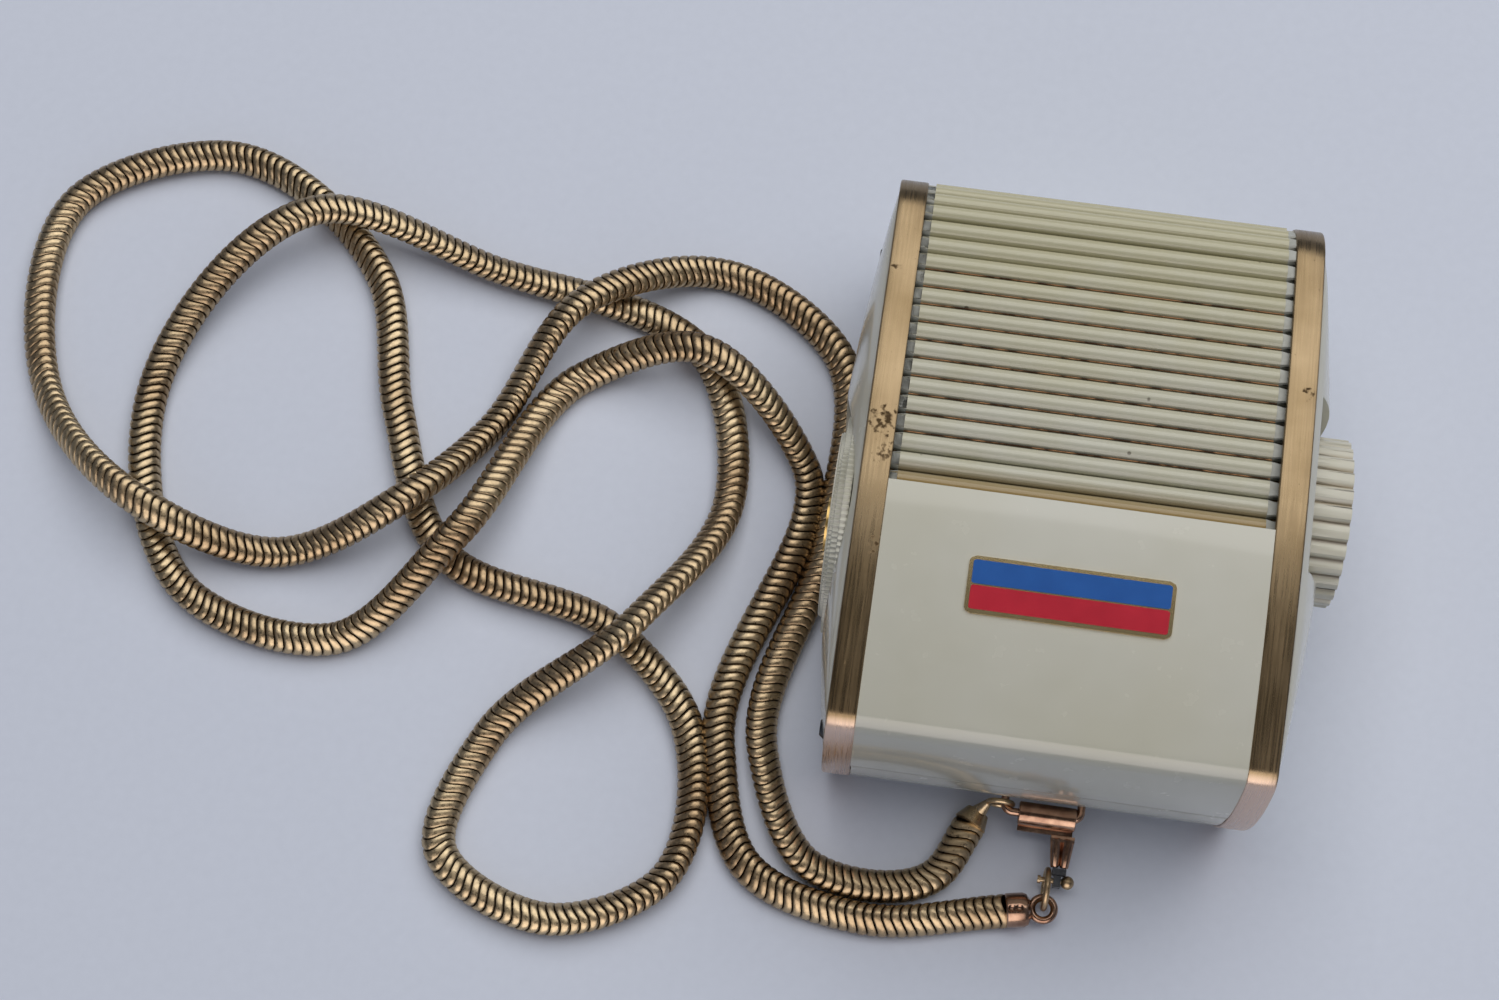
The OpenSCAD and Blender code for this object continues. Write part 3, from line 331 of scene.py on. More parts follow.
def half_edge(inset, arch_steps, corner, corner_r):
    """Half of the side outline as (y, z) points, from the middle of the back to that of the front."""
    foot = bearing(end_centre, foot_corner)
    top = bearing(end_centre, corner)
    crown = bearing(arch_centre, corner)
    return (
        [Vector((foot_corner.x * k / BACK_STEPS, inset)) for k in range(BACK_STEPS + 1)]
        + arc(foot_corner, CORNER_R - inset, -math.pi / 2, foot, FOOT_STEPS)
        + arc(end_centre, END_R - inset, foot, top, END_STEPS)
        + arc(corner, corner_r - inset, top, crown, CORNER_STEPS)
        + arc(arch_centre, ARCH_R - inset, crown, math.pi / 2, arch_steps)
    )


def case_edge(inset, arch_steps):
    """Whole side outline, smaller by the inset, from the middle of the back round the far end."""
    far = half_edge(inset, arch_steps, top_corner, CORNER_R)
    near = half_edge(inset, arch_steps, near_corner, NEAR_CORNER_R)
    return far + [Vector((-p.x, p.y)) for p in near[-2:0:-1]]


def apply_modifiers(thing):
    """Applies a piece's modifiers in their order."""
    only(thing)
    for modifier in list(thing.modifiers):
        bpy.ops.object.modifier_apply(modifier=modifier.name)


def soften(thing, width, segments, degrees):
    """Rounds the edges of a piece that are sharper than the angle."""
    bevel = thing.modifiers.new("softened edges", "BEVEL")
    bevel.width = width
    bevel.segments = segments
    bevel.limit_method = "ANGLE"
    bevel.angle_limit = math.radians(degrees)
    apply_modifiers(thing)


def bent_strip(name, line, closed, x0, x1, wall):
    """A strip bent along (y, z) points, between two x places, with its wall inside the line."""
    deselect_all()
    bpy.ops.mesh.primitive_circle_add(vertices=len(line), radius=CASE_HALF_L)
    strip = bpy.context.object
    strip.name = strip.data.name = name
    for vertex, p in zip(strip.data.vertices, line):
        vertex.co = (x0, p.x, p.y)
    bpy.ops.object.mode_set(mode="EDIT")
    if not closed:
        bpy.ops.mesh.select_all(action="DESELECT")
        bpy.ops.object.mode_set(mode="OBJECT")
        for edge in strip.data.edges:
            edge.select = set(edge.vertices) == {0, len(line) - 1}
        bpy.ops.object.mode_set(mode="EDIT")
        bpy.ops.mesh.delete(type="EDGE_FACE")
    bpy.ops.mesh.select_all(action="SELECT")
    bpy.ops.mesh.extrude_region_move(TRANSFORM_OT_translate={"value": (x1 - x0, 0, 0)})
    bpy.ops.mesh.select_all(action="SELECT")
    bpy.ops.mesh.normals_make_consistent(inside=False)
    bpy.ops.object.mode_set(mode="OBJECT")
    middle = sum((p.y for p in line), 0.0) / len(line)
    face = max(strip.data.polygons, key=lambda f: f.center.z)
    if face.normal.z * (face.center.z - middle) < 0:
        strip.data.flip_normals()
    thick = strip.modifiers.new("wall", "SOLIDIFY")
    thick.thickness = wall
    thick.offset = -1
    thick.use_even_offset = True
    apply_modifiers(strip)
    return strip


# Satin brass under old lacquer: fine lines along the strip every 0.2 mm, drawn
# as coarse as they need to show, and dark tarnish where the lacquer is gone.
satin_brass, tree, shader = new_finish("satin brass", {"Metallic": 1.0})
where = add_node(tree, "TexCoord", {}, {})
stretched = add_node(tree, "Mapping", {"Scale": (1.0, 0.03, 0.03)}, {"Vector": where.outputs["Object"]})
lines = add_node(
    tree, "TexNoise", {"Scale": scale_of(0.2), "Detail": 3.0}, {"Vector": stretched.outputs["Vector"]}
)
cloud = add_node(tree, "TexNoise", {"Scale": scale_of(9), "Detail": 4.0}, {"Vector": where.outputs["Object"]})
ragged = add_node(
    tree, "TexNoise", {"Scale": scale_of(0.6), "Detail": 6.0}, {"Vector": where.outputs["Object"]}
)
cloud_share = add_node(tree, "MapRange", {"From Min": 0.3, "From Max": 0.7}, {"Value": cloud.outputs["Fac"]})
tone = add_node(
    tree, "Mix", {"data_type": "RGBA", 6: linear("#968367"), 7: linear("#7C6A4F")},
    {0: cloud_share.outputs["Result"]},
)
# Tarnished places: centre of each in metres and its radius.
TARNISH = (
    ((-0.0212, 0.0012, 0.0325), 0.0021), ((-0.0208, -0.0022, 0.0325), 0.0014),
    ((-0.0204, -0.0122, 0.0319), 0.0011), ((-0.0222, 0.0190, 0.0311), 0.0008),
    ((0.0222, 0.0105, 0.0321), 0.0008), ((0.0218, -0.0260, 0.0285), 0.0007),
)
tarnish = None
for place, radius in TARNISH:
    away = add_node(tree, "VectorMath", {"operation": "DISTANCE", 1: place}, {0: where.outputs["Object"]})
    near = add_node(
        tree, "MapRange", {"From Min": 1.3 * radius, "From Max": 0.2 * radius, "To Min": 0.0, "To Max": 0.30},
        {"Value": away.outputs["Value"]},
    )
    tarnish = near if tarnish is None else add_node(
        tree, "Math", {"operation": "MAXIMUM"}, {0: tarnish.outputs[0], 1: near.outputs[0]}
    )
spotted = add_node(tree, "Math", {"operation": "ADD"}, {0: tarnish.outputs[0], 1: ragged.outputs["Fac"]})
spot_share = add_node(
    tree, "MapRange", {"From Min": 0.70, "From Max": 0.84, "To Max": 0.6}, {"Value": spotted.outputs["Value"]}
)
brown = add_node(
    tree, "Mix", {"data_type": "RGBA", 7: linear("#4A3822")},
    {0: spot_share.outputs["Result"], 6: tone.outputs[2]},
)
# Painted reflection: the end by the chain is painted a paler, pinkish metal where the
# turned-down brass mirrors the pale floor, from the first place along y to the second.
FLOOR_GLEAM_FROM, FLOOR_GLEAM_TO = -0.0296, -0.0308
near_parts = add_node(tree, "SeparateXYZ", {}, {"Vector": where.outputs["Object"]})
floor_gleam_share = add_node(
    tree, "MapRange", {"From Min": FLOOR_GLEAM_FROM, "From Max": FLOOR_GLEAM_TO}, {"Value": near_parts.outputs["Y"]}
)
floor_gleamed = add_node(
    tree, "Mix", {"data_type": "RGBA", 7: linear("#CDB5A6")},
    {0: floor_gleam_share.outputs["Result"], 6: brown.outputs[2]},
)
line_rough = add_node(
    tree, "MapRange", {"From Min": 0.3, "From Max": 0.7, "To Min": 0.22, "To Max": 0.36},
    {"Value": lines.outputs["Fac"]},
)
rough = add_node(
    tree, "Math", {"operation": "ADD"}, {0: line_rough.outputs["Result"], 1: spot_share.outputs["Result"]}
)
groove = add_node(tree, "Bump", {"Strength": 0.07, "Distance": 0.00004}, {"Height": lines.outputs["Fac"]})
tree.links.new(floor_gleamed.outputs[2], shader.inputs["Base Color"])
tree.links.new(rough.outputs["Value"], shader.inputs["Roughness"])
tree.links.new(groove.outputs["Normal"], shader.inputs["Normal"])

for name, side in (("left", -1), ("right", 1)):
    x0, x1 = sorted((side * (CASE_HALF_W - BAND_W), side * CASE_HALF_W))
    strip = bent_strip(name + "_brass_band", case_edge(0, ARCH_STEPS), True, x0, x1, BAND_T)
    soften(strip, 0.00022, 2, 50)
    smooth(strip, 30)
    strip.data.materials.append(satin_brass)
    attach(strip, "case")
    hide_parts(name + "_band")


# Front cover and tray. Two mouldings in ivory urea plastic meet on a line round
# the near end. The cover ends in a rounded lip over the sliding blind.
COVER_HALF_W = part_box("front_shell")[1].x
COVER_INSET = 0.00015
COVER_WALL = 0.0011
LIP_Y = -0.0048
LIP_ROUND = 0.00075
COVER_ARCH_STEPS = 48
PLACE_PLAY = 0.00002
PART_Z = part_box("front_shell")[0].z

# Ivory urea moulding: glossy, a little warmer in patches, with a few dark
# specks in it and fine wear that breaks up the gloss.
ivory, tree, shader = new_finish("ivory urea plastic", {"Coat Weight": 0.6, "Coat Roughness": 0.06})
where = add_node(tree, "TexCoord", {}, {})
cloud = add_node(
    tree, "TexNoise", {"Scale": scale_of(22), "Detail": 3.0}, {"Vector": where.outputs["Object"]}
)
wear = add_node(
    tree, "TexNoise", {"Scale": scale_of(2.5), "Detail": 5.0}, {"Vector": where.outputs["Object"]}
)
peel = add_node(tree, "TexNoise", {"Scale": scale_of(4), "Detail": 1.0}, {"Vector": where.outputs["Object"]})
cells = add_node(tree, "TexVoronoi", {"Scale": scale_of(24)}, {"Vector": where.outputs["Object"]})
cloud_share = add_node(tree, "MapRange", {"From Min": 0.35, "From Max": 0.7}, {"Value": cloud.outputs["Fac"]})
tone = add_node(
    tree, "Mix", {"data_type": "RGBA", 6: linear("#CFCDBF"), 7: linear("#C9C6B3")},
    {0: cloud_share.outputs["Result"]},
)
speck = add_node(
    tree, "MapRange", {"From Min": 0.016, "From Max": 0.006, "To Max": 0.5},
    {"Value": cells.outputs["Distance"]},
)
specked = add_node(
    tree, "Mix", {"data_type": "RGBA", 7: linear("#5A4A32")}, {0: speck.outputs["Result"], 6: tone.outputs[2]}
)
# The clasp swings against the near end and has worn a brown patch there. For
# each axis: the patch's middle and its half size, in metres.
SMUDGE = (("X", 0.0020, 0.0060), ("Z", 0.0140, 0.0090), ("Y", -0.036, 0.006))
SMUDGE_CORE = 0.15
parts = add_node(tree, "SeparateXYZ", {}, {"Vector": where.outputs["Object"]})
flecks = add_node(
    tree, "TexNoise", {"Scale": scale_of(1.1), "Detail": 5.0}, {"Vector": where.outputs["Object"]}
)
patch = None
for output, middle, half in SMUDGE:
    offset = add_node(tree, "Math", {"operation": "SUBTRACT", 1: middle}, {0: parts.outputs[output]})
    size = add_node(tree, "Math", {"operation": "ABSOLUTE"}, {0: offset.outputs["Value"]})
    inside = add_node(
        tree, "MapRange", {"From Min": half, "From Max": SMUDGE_CORE * half}, {"Value": size.outputs["Value"]}
    )
    patch = inside if patch is None else add_node(
        tree, "Math", {"operation": "MULTIPLY"}, {0: patch.outputs[0], 1: inside.outputs[0]}
    )
stain = add_node(
    tree, "MapRange", {"From Min": 0.3, "From Max": 0.62, "To Max": 0.6}, {"Value": flecks.outputs["Fac"]}
)
fleck = add_node(
    tree, "MapRange", {"From Min": 0.62, "From Max": 0.68, "To Max": 0.8}, {"Value": flecks.outputs["Fac"]}
)
stained_share = add_node(
    tree, "Math", {"operation": "MULTIPLY"}, {0: patch.outputs[0], 1: stain.outputs["Result"]}
)
fleck_share = add_node(
    tree, "Math", {"operation": "MULTIPLY"}, {0: patch.outputs[0], 1: fleck.outputs["Result"]}
)
stained = add_node(
    tree, "Mix", {"data_type": "RGBA", 7: linear("#9C8050")},
    {0: stained_share.outputs["Value"], 6: specked.outputs[2]},
)
flecked = add_node(
    tree, "Mix", {"data_type": "RGBA", 7: linear("#4C3A24")},
    {0: fleck_share.outputs["Value"], 6: stained.outputs[2]},
)
rough = add_node(
    tree, "MapRange", {"From Min": 0.3, "From Max": 0.7, "To Min": 0.2, "To Max": 0.28},
    {"Value": wear.outputs["Fac"]},
)
wavy = add_node(tree, "Bump", {"Strength": 0.05, "Distance": 0.00005}, {"Height": peel.outputs["Fac"]})
tree.links.new(flecked.outputs[2], shader.inputs["Base Color"])
tree.links.new(rough.outputs["Result"], shader.inputs["Roughness"])
tree.links.new(wavy.outputs["Normal"], shader.inputs["Normal"])

cover_line = [p for p in case_edge(COVER_INSET, COVER_ARCH_STEPS) if p.x <= LIP_Y and p.y >= PART_Z]
lip_z = arch_centre.y + math.sqrt((ARCH_R - COVER_INSET) ** 2 - LIP_Y**2)
part_y = end_centre.x + math.sqrt((END_R - COVER_INSET) ** 2 - (PART_Z - end_centre.y) ** 2)
cover_line = [Vector((LIP_Y, lip_z))] + cover_line + [Vector((-part_y, PART_Z))]
cover = bent_strip("front_cover", cover_line, False, -COVER_HALF_W, COVER_HALF_W, COVER_WALL)
only(cover)
bpy.ops.object.mode_set(mode="EDIT")
bpy.ops.mesh.select_mode(type="EDGE")
bpy.ops.mesh.select_all(action="DESELECT")
bpy.ops.object.mode_set(mode="OBJECT")
for edge in cover.data.edges:
    edge.select = all(
        cover.data.vertices[v].co.y > LIP_Y - PLACE_PLAY and cover.data.vertices[v].co.z > lip_z - PLACE_PLAY
        for v in edge.vertices
    )
bpy.ops.object.mode_set(mode="EDIT")
bpy.ops.mesh.bevel(offset=LIP_ROUND, segments=6, affect="EDGES")
bpy.ops.object.mode_set(mode="OBJECT")
soften(cover, 0.0002, 3, 50)
smooth(cover, 30)
cover.data.materials.append(ivory)
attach(cover, "case")
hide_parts("front_shell")


def dress(node, material):
    """Gives a CAD node a finish of its own."""
    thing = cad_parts[node]
    if not thing.material_slots:
        thing.data.materials.append(material)
    for held in thing.material_slots:
        held.material = material


dress("back_shell", ivory)


# Side covers. Shallow ivory domes clipped inside the bands. The dial side has a
# round pocket for the disc and an opening for the window; the knob side has a
# pocket that is open towards the front, so that the thumb reaches the knob.
RIM_SHARES = (0.0, 0.012, 0.03, 0.055, 0.085, 0.12, 0.18, 0.26, 0.36, 0.48, 0.62, 0.78, 0.92)
RIM_STEP = 0.00001
DOME_REACH = 0.0314
DOME_PLAY = 0.00003
DOME_WALL = 0.0005
DOME_SEAT = 0.0001
DIAL_BULGE, KNOB_BULGE = 0.00285, 0.0036


def side_dome(name, side, bulge):
    """A shallow dome inside one band, closed at the back."""
    rim = case_edge(BAND_T + DOME_PLAY, ARCH_STEPS)
    deselect_all()
    bpy.ops.mesh.primitive_circle_add(vertices=len(rim), radius=CASE_HALF_L, fill_type="NGON")
    dome = bpy.context.object
    dome.name = dome.data.name = name
    for vertex, p in zip(dome.data.vertices, rim):
        vertex.co = (side * (CASE_HALF_W - DOME_WALL - DOME_SEAT), p.x, p.y)
    bpy.ops.object.mode_set(mode="EDIT")
    bpy.ops.mesh.select_all(action="SELECT")
    bpy.ops.mesh.extrude_region_move(TRANSFORM_OT_translate={"value": (side * DOME_WALL, 0, 0)})
    for before, after in zip(RIM_SHARES, RIM_SHARES[1:]):
        share = (1 - after) / (1 - before)
        bpy.ops.mesh.extrude_region_move(TRANSFORM_OT_translate={"value": (side * RIM_STEP, 0, 0)})
        bpy.ops.transform.resize(value=(1, share, share), center_override=(0, 0, CASE_H / 2))
    bpy.ops.mesh.select_all(action="SELECT")
    bpy.ops.mesh.normals_make_consistent(inside=False)
    bpy.ops.object.mode_set(mode="OBJECT")
    for vertex in dome.data.vertices:
        if abs(vertex.co.x) > CASE_HALF_W - DOME_SEAT + RIM_STEP / 2:
            across = (vertex.co.z - CASE_H / 2) / (CASE_H / 2 - BAND_T)
            along = vertex.co.y / DOME_REACH
            step = round((abs(vertex.co.x) - CASE_HALF_W + DOME_SEAT) / RIM_STEP)
            near_rim = 1 - min(1.0, RIM_SHARES[step] / 0.1)
            rise = max(0.0, 1 - abs(across) ** 3) * max(0.0, 1 - abs(along) ** 2.1)
            height = (bulge + DOME_SEAT) * rise * math.sqrt(1 - near_rim**2)
            vertex.co.x = side * (CASE_HALF_W - DOME_SEAT + height)
    return dome


def cut(thing, cutter):
    """Cuts one solid out of another and removes the cutter."""
    hole = thing.modifiers.new("cut", "BOOLEAN")
    hole.operation = "DIFFERENCE"
    hole.solver = "EXACT"
    hole.object = cutter
    apply_modifiers(thing)
    bpy.data.objects.remove(cutter)


def round_cutter(radius, x0, x1, y, z):
    """A cylinder along x between two places."""
    middle = ((x0 + x1) / 2, y, z)
    bpy.ops.mesh.primitive_cylinder_add(
        vertices=96, radius=radius, depth=x1 - x0, location=middle, rotation=(0, math.pi / 2, 0)
    )
    return bpy.context.object


def box_cutter(low, high):
    """A box between two corners."""
    middle = (Vector(low) + Vector(high)) / 2
    bpy.ops.mesh.primitive_cube_add(size=1, location=middle, scale=Vector(high) - Vector(low))
    return bpy.context.object


dial_low, dial_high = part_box("calculator_disc")
dial_y, dial_z = (dial_low.y + dial_high.y) / 2, (dial_low.z + dial_high.z) / 2
dial_r = (dial_high.z - dial_low.z) / 2
window_low, window_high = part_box("scale_window")
post_r = (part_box("disc_post")[1].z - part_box("disc_post")[0].z) / 2
# Cutters run from inside the case to well outside it, at these distances from
# its middle plane.
CUT_IN, CUT_OUT = 0.020, 0.030
DISC_PLAY = 0.00015
DISC_LIFT = 0.0001
left_dome = side_dome("dial_side_cover", -1, DIAL_BULGE)
cut(left_dome, round_cutter(dial_r + DISC_PLAY, -CUT_OUT, dial_high.x + DISC_LIFT, dial_y, dial_z))
cut(left_dome, round_cutter(post_r, -CUT_OUT, -CUT_IN, dial_y, dial_z))
WINDOW_STEP = 0.001
WINDOW_T = 0.0010
WINDOW_SEAT_X = -0.02325
WINDOW_PLAY = 0.0002
cut(
    left_dome,
    box_cutter((-CUT_OUT, window_low.y, window_low.z), (WINDOW_SEAT_X, window_high.y, window_high.z)),
)
cut(
    left_dome,
    box_cutter(
        (-CUT_OUT, window_low.y + WINDOW_STEP, window_low.z + WINDOW_STEP),
        (-CUT_IN, window_high.y - WINDOW_STEP, window_high.z - WINDOW_STEP),
    ),
)

shaft_low, shaft_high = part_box("knob_shaft")
turned_low, turned_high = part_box("film_knob")
turned_r = (turned_high.z - turned_low.z) / 2
turned_y, turned_z = (turned_low.y + turned_high.y) / 2, (turned_low.z + turned_high.z) / 2
KNOB_LIFT = 0.00012
KNOB_PLAY = 0.0004
SHAFT_PLAY = 0.00005
pocket_x = turned_low.x - KNOB_LIFT
pocket_r = turned_r + KNOB_PLAY
shaft_r = (shaft_high.z - shaft_low.z) / 2
right_dome = side_dome("knob_side_cover", 1, KNOB_BULGE)
cut(right_dome, round_cutter(pocket_r, pocket_x, CUT_OUT, turned_y, turned_z))
cut(right_dome, box_cutter((pocket_x, turned_y - pocket_r, turned_z), (CUT_OUT, turned_y + pocket_r, 0.040)))
cut(right_dome, round_cutter(shaft_r + SHAFT_PLAY, CUT_IN, CUT_OUT, turned_y, turned_z))
for dome, node in ((left_dome, "left_face"), (right_dome, "right_face")):
    soften(dome, 0.00016, 2, 50)
    smooth(dome, 30)
    dome.data.materials.append(ivory)
    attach(dome, "case")
    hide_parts(node)

# Window. A flat clear acrylic plate that lies in the step of its opening.
window_y, window_z = (window_low.y + window_high.y) / 2, (window_low.z + window_high.z) / 2
bpy.ops.mesh.primitive_cube_add(
    size=1,
    location=(WINDOW_SEAT_X - WINDOW_T / 2, window_y, window_z),
    scale=(WINDOW_T, window_high.y - window_low.y - WINDOW_PLAY, window_high.z - window_low.z - WINDOW_PLAY),
)
window = bpy.context.object
window.name = window.data.name = "clear_window"
bpy.ops.object.transform_apply(location=True, rotation=True, scale=True)
soften(window, 0.00025, 3, 50)
smooth(window, 30)
# Clear acrylic: it shows what lies behind it, a little softened by fine scratches.
clear_acrylic, tree, shader = new_finish(
    "clear acrylic",
    {"Roughness": 0.06, "IOR": 1.49, "Transmission Weight": 1.0, "Base Color": linear("#F2F4F0")},
)
window.data.materials.append(clear_acrylic)
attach(window, "case")
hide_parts("scale_window")


# Blind. Fifteen half-round ivory slats are riveted to a thin brass ribbon and
# slide as one flight under the cover. Thinner tips on both ends run on ledges
# of the side plates.
SLAT_PITCH = 0.00208
SLAT_R = 0.00098
SLAT_H = 0.0016
SLAT_HALF = CASE_HALF_W - BAND_W - 0.0008
TIP_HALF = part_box("blind_slats")[1].x
TIP_DROP = 0.001
TIP_CROWN = 0.00045
TIP_SHOW = 0.0008
TIP_NARROW = 0.84
FLIGHT_COUNT = 15
LIP_DROP = 0.0013
LAST_GAP = 0.92
crown_in = (top_corner - arch_centre).normalized()
lip_turn = math.asin(LIP_Y / ARCH_R)
blind_shift = LIP_DROP / math.sin(math.atan2(crown_in.x, crown_in.y) - lip_turn)
blind_centre = Vector((0, blind_shift * crown_in.y, arch_centre.y - blind_shift * crown_in.x))
last_turn = math.asin((ARCH_R * crown_in.x - blind_centre.y) / ARCH_R) - LAST_GAP * SLAT_PITCH / ARCH_R

deselect_all()
bpy.ops.mesh.primitive_cylinder_add(
    vertices=28, radius=SLAT_R, depth=2 * SLAT_HALF, rotation=(0, math.pi / 2, 0)
)
slat = bpy.context.object
bpy.ops.object.transform_apply(location=False, rotation=True, scale=False)
slat.data.transform(Matrix.Translation((0, 0, -SLAT_R)))
bpy.ops.object.mode_set(mode="EDIT")
bpy.ops.mesh.select_all(action="SELECT")
bpy.ops.mesh.bisect(plane_co=(0, 0, -SLAT_R), plane_no=(0, 0, -1), clear_outer=True, use_fill=True)
bpy.ops.object.mode_set(mode="OBJECT")
for face in slat.data.polygons:
    face.select = face.normal.z < -0.9
bpy.ops.object.mode_set(mode="EDIT")
bpy.ops.mesh.select_mode(type="FACE")
bpy.ops.mesh.extrude_region_move(TRANSFORM_OT_translate={"value": (0, 0, SLAT_R - SLAT_H)})
bpy.ops.mesh.select_all(action="SELECT")
bpy.ops.mesh.bisect(plane_co=(0, 0, -TIP_DROP), plane_no=(0, 0, 1))
bpy.ops.mesh.select_all(action="SELECT")
bpy.ops.mesh.bisect(plane_co=(0, 0, -TIP_CROWN), plane_no=(0, 0, 1))
bpy.ops.object.mode_set(mode="OBJECT")
# Two steps of each tip: how far below the crown it starts, its reach and its width.
TIP_STEPS = ((TIP_CROWN, TIP_SHOW, TIP_NARROW), (TIP_DROP, TIP_HALF - SLAT_HALF - TIP_SHOW, 1))
for side in (-1, 1):
    for drop, reach, width in TIP_STEPS:
        outermost = max(side * face.center.x for face in slat.data.polygons)
        for face in slat.data.polygons:
            on_end = side * face.normal.x > 0.9 and side * face.center.x > outermost - 0.00001
            face.select = on_end and face.center.z < -drop
        bpy.ops.object.mode_set(mode="EDIT")
        bpy.ops.mesh.select_mode(type="FACE")
        bpy.ops.mesh.extrude_region_move(TRANSFORM_OT_translate={"value": (side * reach, 0, 0)})
        bpy.ops.transform.resize(value=(1, width, 1), center_override=(0, 0, -SLAT_H))
        bpy.ops.object.mode_set(mode="OBJECT")
soften(slat, 0.00012, 2, 55)
smooth(slat, 40)

# Yellowed urea: the slats were in the light for longest, more so at the far end.
# The stretch nearest the cover's lip is painted amber-brown: painted shade under the lip, warmed as by light
# bounced off it.
aged_ivory, tree, shader = new_finish("yellowed urea plastic", {"Coat Weight": 0.2, "Coat Roughness": 0.15})
where = add_node(tree, "TexCoord", {}, {})
parts = add_node(tree, "SeparateXYZ", {}, {"Vector": where.outputs["Object"]})
cloud = add_node(tree, "TexNoise", {"Scale": scale_of(6), "Detail": 3.0}, {"Vector": where.outputs["Object"]})
cells = add_node(tree, "TexVoronoi", {"Scale": scale_of(5)}, {"Vector": where.outputs["Object"]})
far_share = add_node(tree, "MapRange", {"From Min": 0.004, "From Max": 0.030}, {"Value": parts.outputs["Y"]})
cloud_share = add_node(
    tree, "MapRange", {"From Min": 0.3, "From Max": 0.7, "To Max": 0.5}, {"Value": cloud.outputs["Fac"]}
)
aged = add_node(
    tree, "Math", {"operation": "ADD", "use_clamp": True},
    {0: far_share.outputs["Result"], 1: cloud_share.outputs["Result"]},
)
tone = add_node(
    tree, "Mix", {"data_type": "RGBA", 6: linear("#C7C5B3"), 7: linear("#C0BB9C")}, {0: aged.outputs["Value"]}
)
speck = add_node(
    tree, "MapRange", {"From Min": 0.06, "From Max": 0.04, "To Max": 0.75},
    {"Value": cells.outputs["Distance"]},
)
specked = add_node(
    tree, "Mix", {"data_type": "RGBA", 7: linear("#4E4436")}, {0: speck.outputs["Result"], 6: tone.outputs[2]}
)
# Painted shade: the stretch of the slats next to the cover's lip is painted amber-brown.
LIP_SHADE_FROM, LIP_SHADE_TO = -0.0020, -0.0042
lip_shade_share = add_node(
    tree, "MapRange", {"From Min": LIP_SHADE_FROM, "From Max": LIP_SHADE_TO, "To Max": 0.95},
    {"Value": parts.outputs["Y"]},
)
lip_shaded = add_node(
    tree, "Mix", {"data_type": "RGBA", 7: linear("#94793F")},
    {0: lip_shade_share.outputs["Result"], 6: specked.outputs[2]},
)
tree.links.new(lip_shaded.outputs[2], shader.inputs["Base Color"])
shader.inputs["Roughness"].default_value = 0.22

# Grey tips: the same plastic, painted greyer and mottled where it runs in the band.
grey_tip_ivory, tree, shader = new_finish("grey tip urea plastic", {"Roughness": 0.4})
where = add_node(tree, "TexCoord", {}, {})
tip_mottle = add_node(
    tree, "TexNoise", {"Scale": scale_of(0.8), "Detail": 3.0}, {"Vector": where.outputs["Object"]}
)
tone = add_node(
    tree, "Mix", {"data_type": "RGBA", 6: linear("#BEC0B9"), 7: linear("#9A9A90")}, {0: tip_mottle.outputs["Fac"]}
)
tree.links.new(tone.outputs[2], shader.inputs["Base Color"])

slat.data.materials.append(aged_ivory)
slat.data.materials.append(grey_tip_ivory)
for face in slat.data.polygons:
    if abs(face.center.x) > SLAT_HALF + 0.00005:
        face.material_index = 1


def on_flight(turn, radius):
    """Where a piece of the sliding flight goes, at a turn about its centre and a distance from it."""
    outward = Matrix.Translation((0, 0, radius))
    return Matrix.Translation(blind_centre) @ Matrix.Rotation(-turn, 4, "X") @ outward


for i in range(FLIGHT_COUNT):
    turn = last_turn - i * SLAT_PITCH / ARCH_R
    placed = bpy.data.objects.new(f"blind_slat_{i + 1:02d}", slat.data.copy())
    bpy.context.scene.collection.objects.link(placed)
    placed.data.transform(on_flight(turn, ARCH_R))
    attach(placed, "blind")
    if i == 0:
        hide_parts("blind_slats")

# Slats that stay: eight narrower ones of the same moulding, cemented round the
# far corner and down the end face to the tray.
FIXED_R = 0.00085
FIXED_PLAY = 0.00015
FIXED_START = 0.0001
FIXED_WIDE, FIXED_HIGH = 0.84, 0.7
far_face_end = math.asin((PART_Z + FIXED_R + FIXED_PLAY - end_centre.y) / (END_R - FIXED_R))
bend_top = bearing(arch_centre, top_corner)
bend_foot = bearing(end_centre, top_corner)
bend_length = (bend_top - bend_foot) * CORNER_R
fixed_length = bend_length + (bend_foot - far_face_end) * END_R
fixed_count = math.ceil(fixed_length / SLAT_PITCH) + 1
for i in range(fixed_count):
    along = FIXED_START + i * (fixed_length - FIXED_START) / (fixed_count - 1)
    if along < bend_length:
        middle, radius, turn = top_corner, CORNER_R, bend_top - along / CORNER_R
    else:
        middle, radius, turn = end_centre, END_R, bend_foot - (along - bend_length) / END_R
    placed = bpy.data.objects.new(f"fixed_slat_{i + 1}", slat.data.copy())
    bpy.context.scene.collection.objects.link(placed)
    placed.data.transform(
        Matrix.Translation((0, middle.x + radius * math.cos(turn), middle.y + radius * math.sin(turn)))
        @ Matrix.Rotation(turn - math.pi / 2, 4, "X")
        @ Matrix.Diagonal((1, FIXED_WIDE, FIXED_HIGH, 1))
    )
    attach(placed, "case")
    if i == 0:
        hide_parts("corner_slats")
bpy.data.objects.remove(slat)

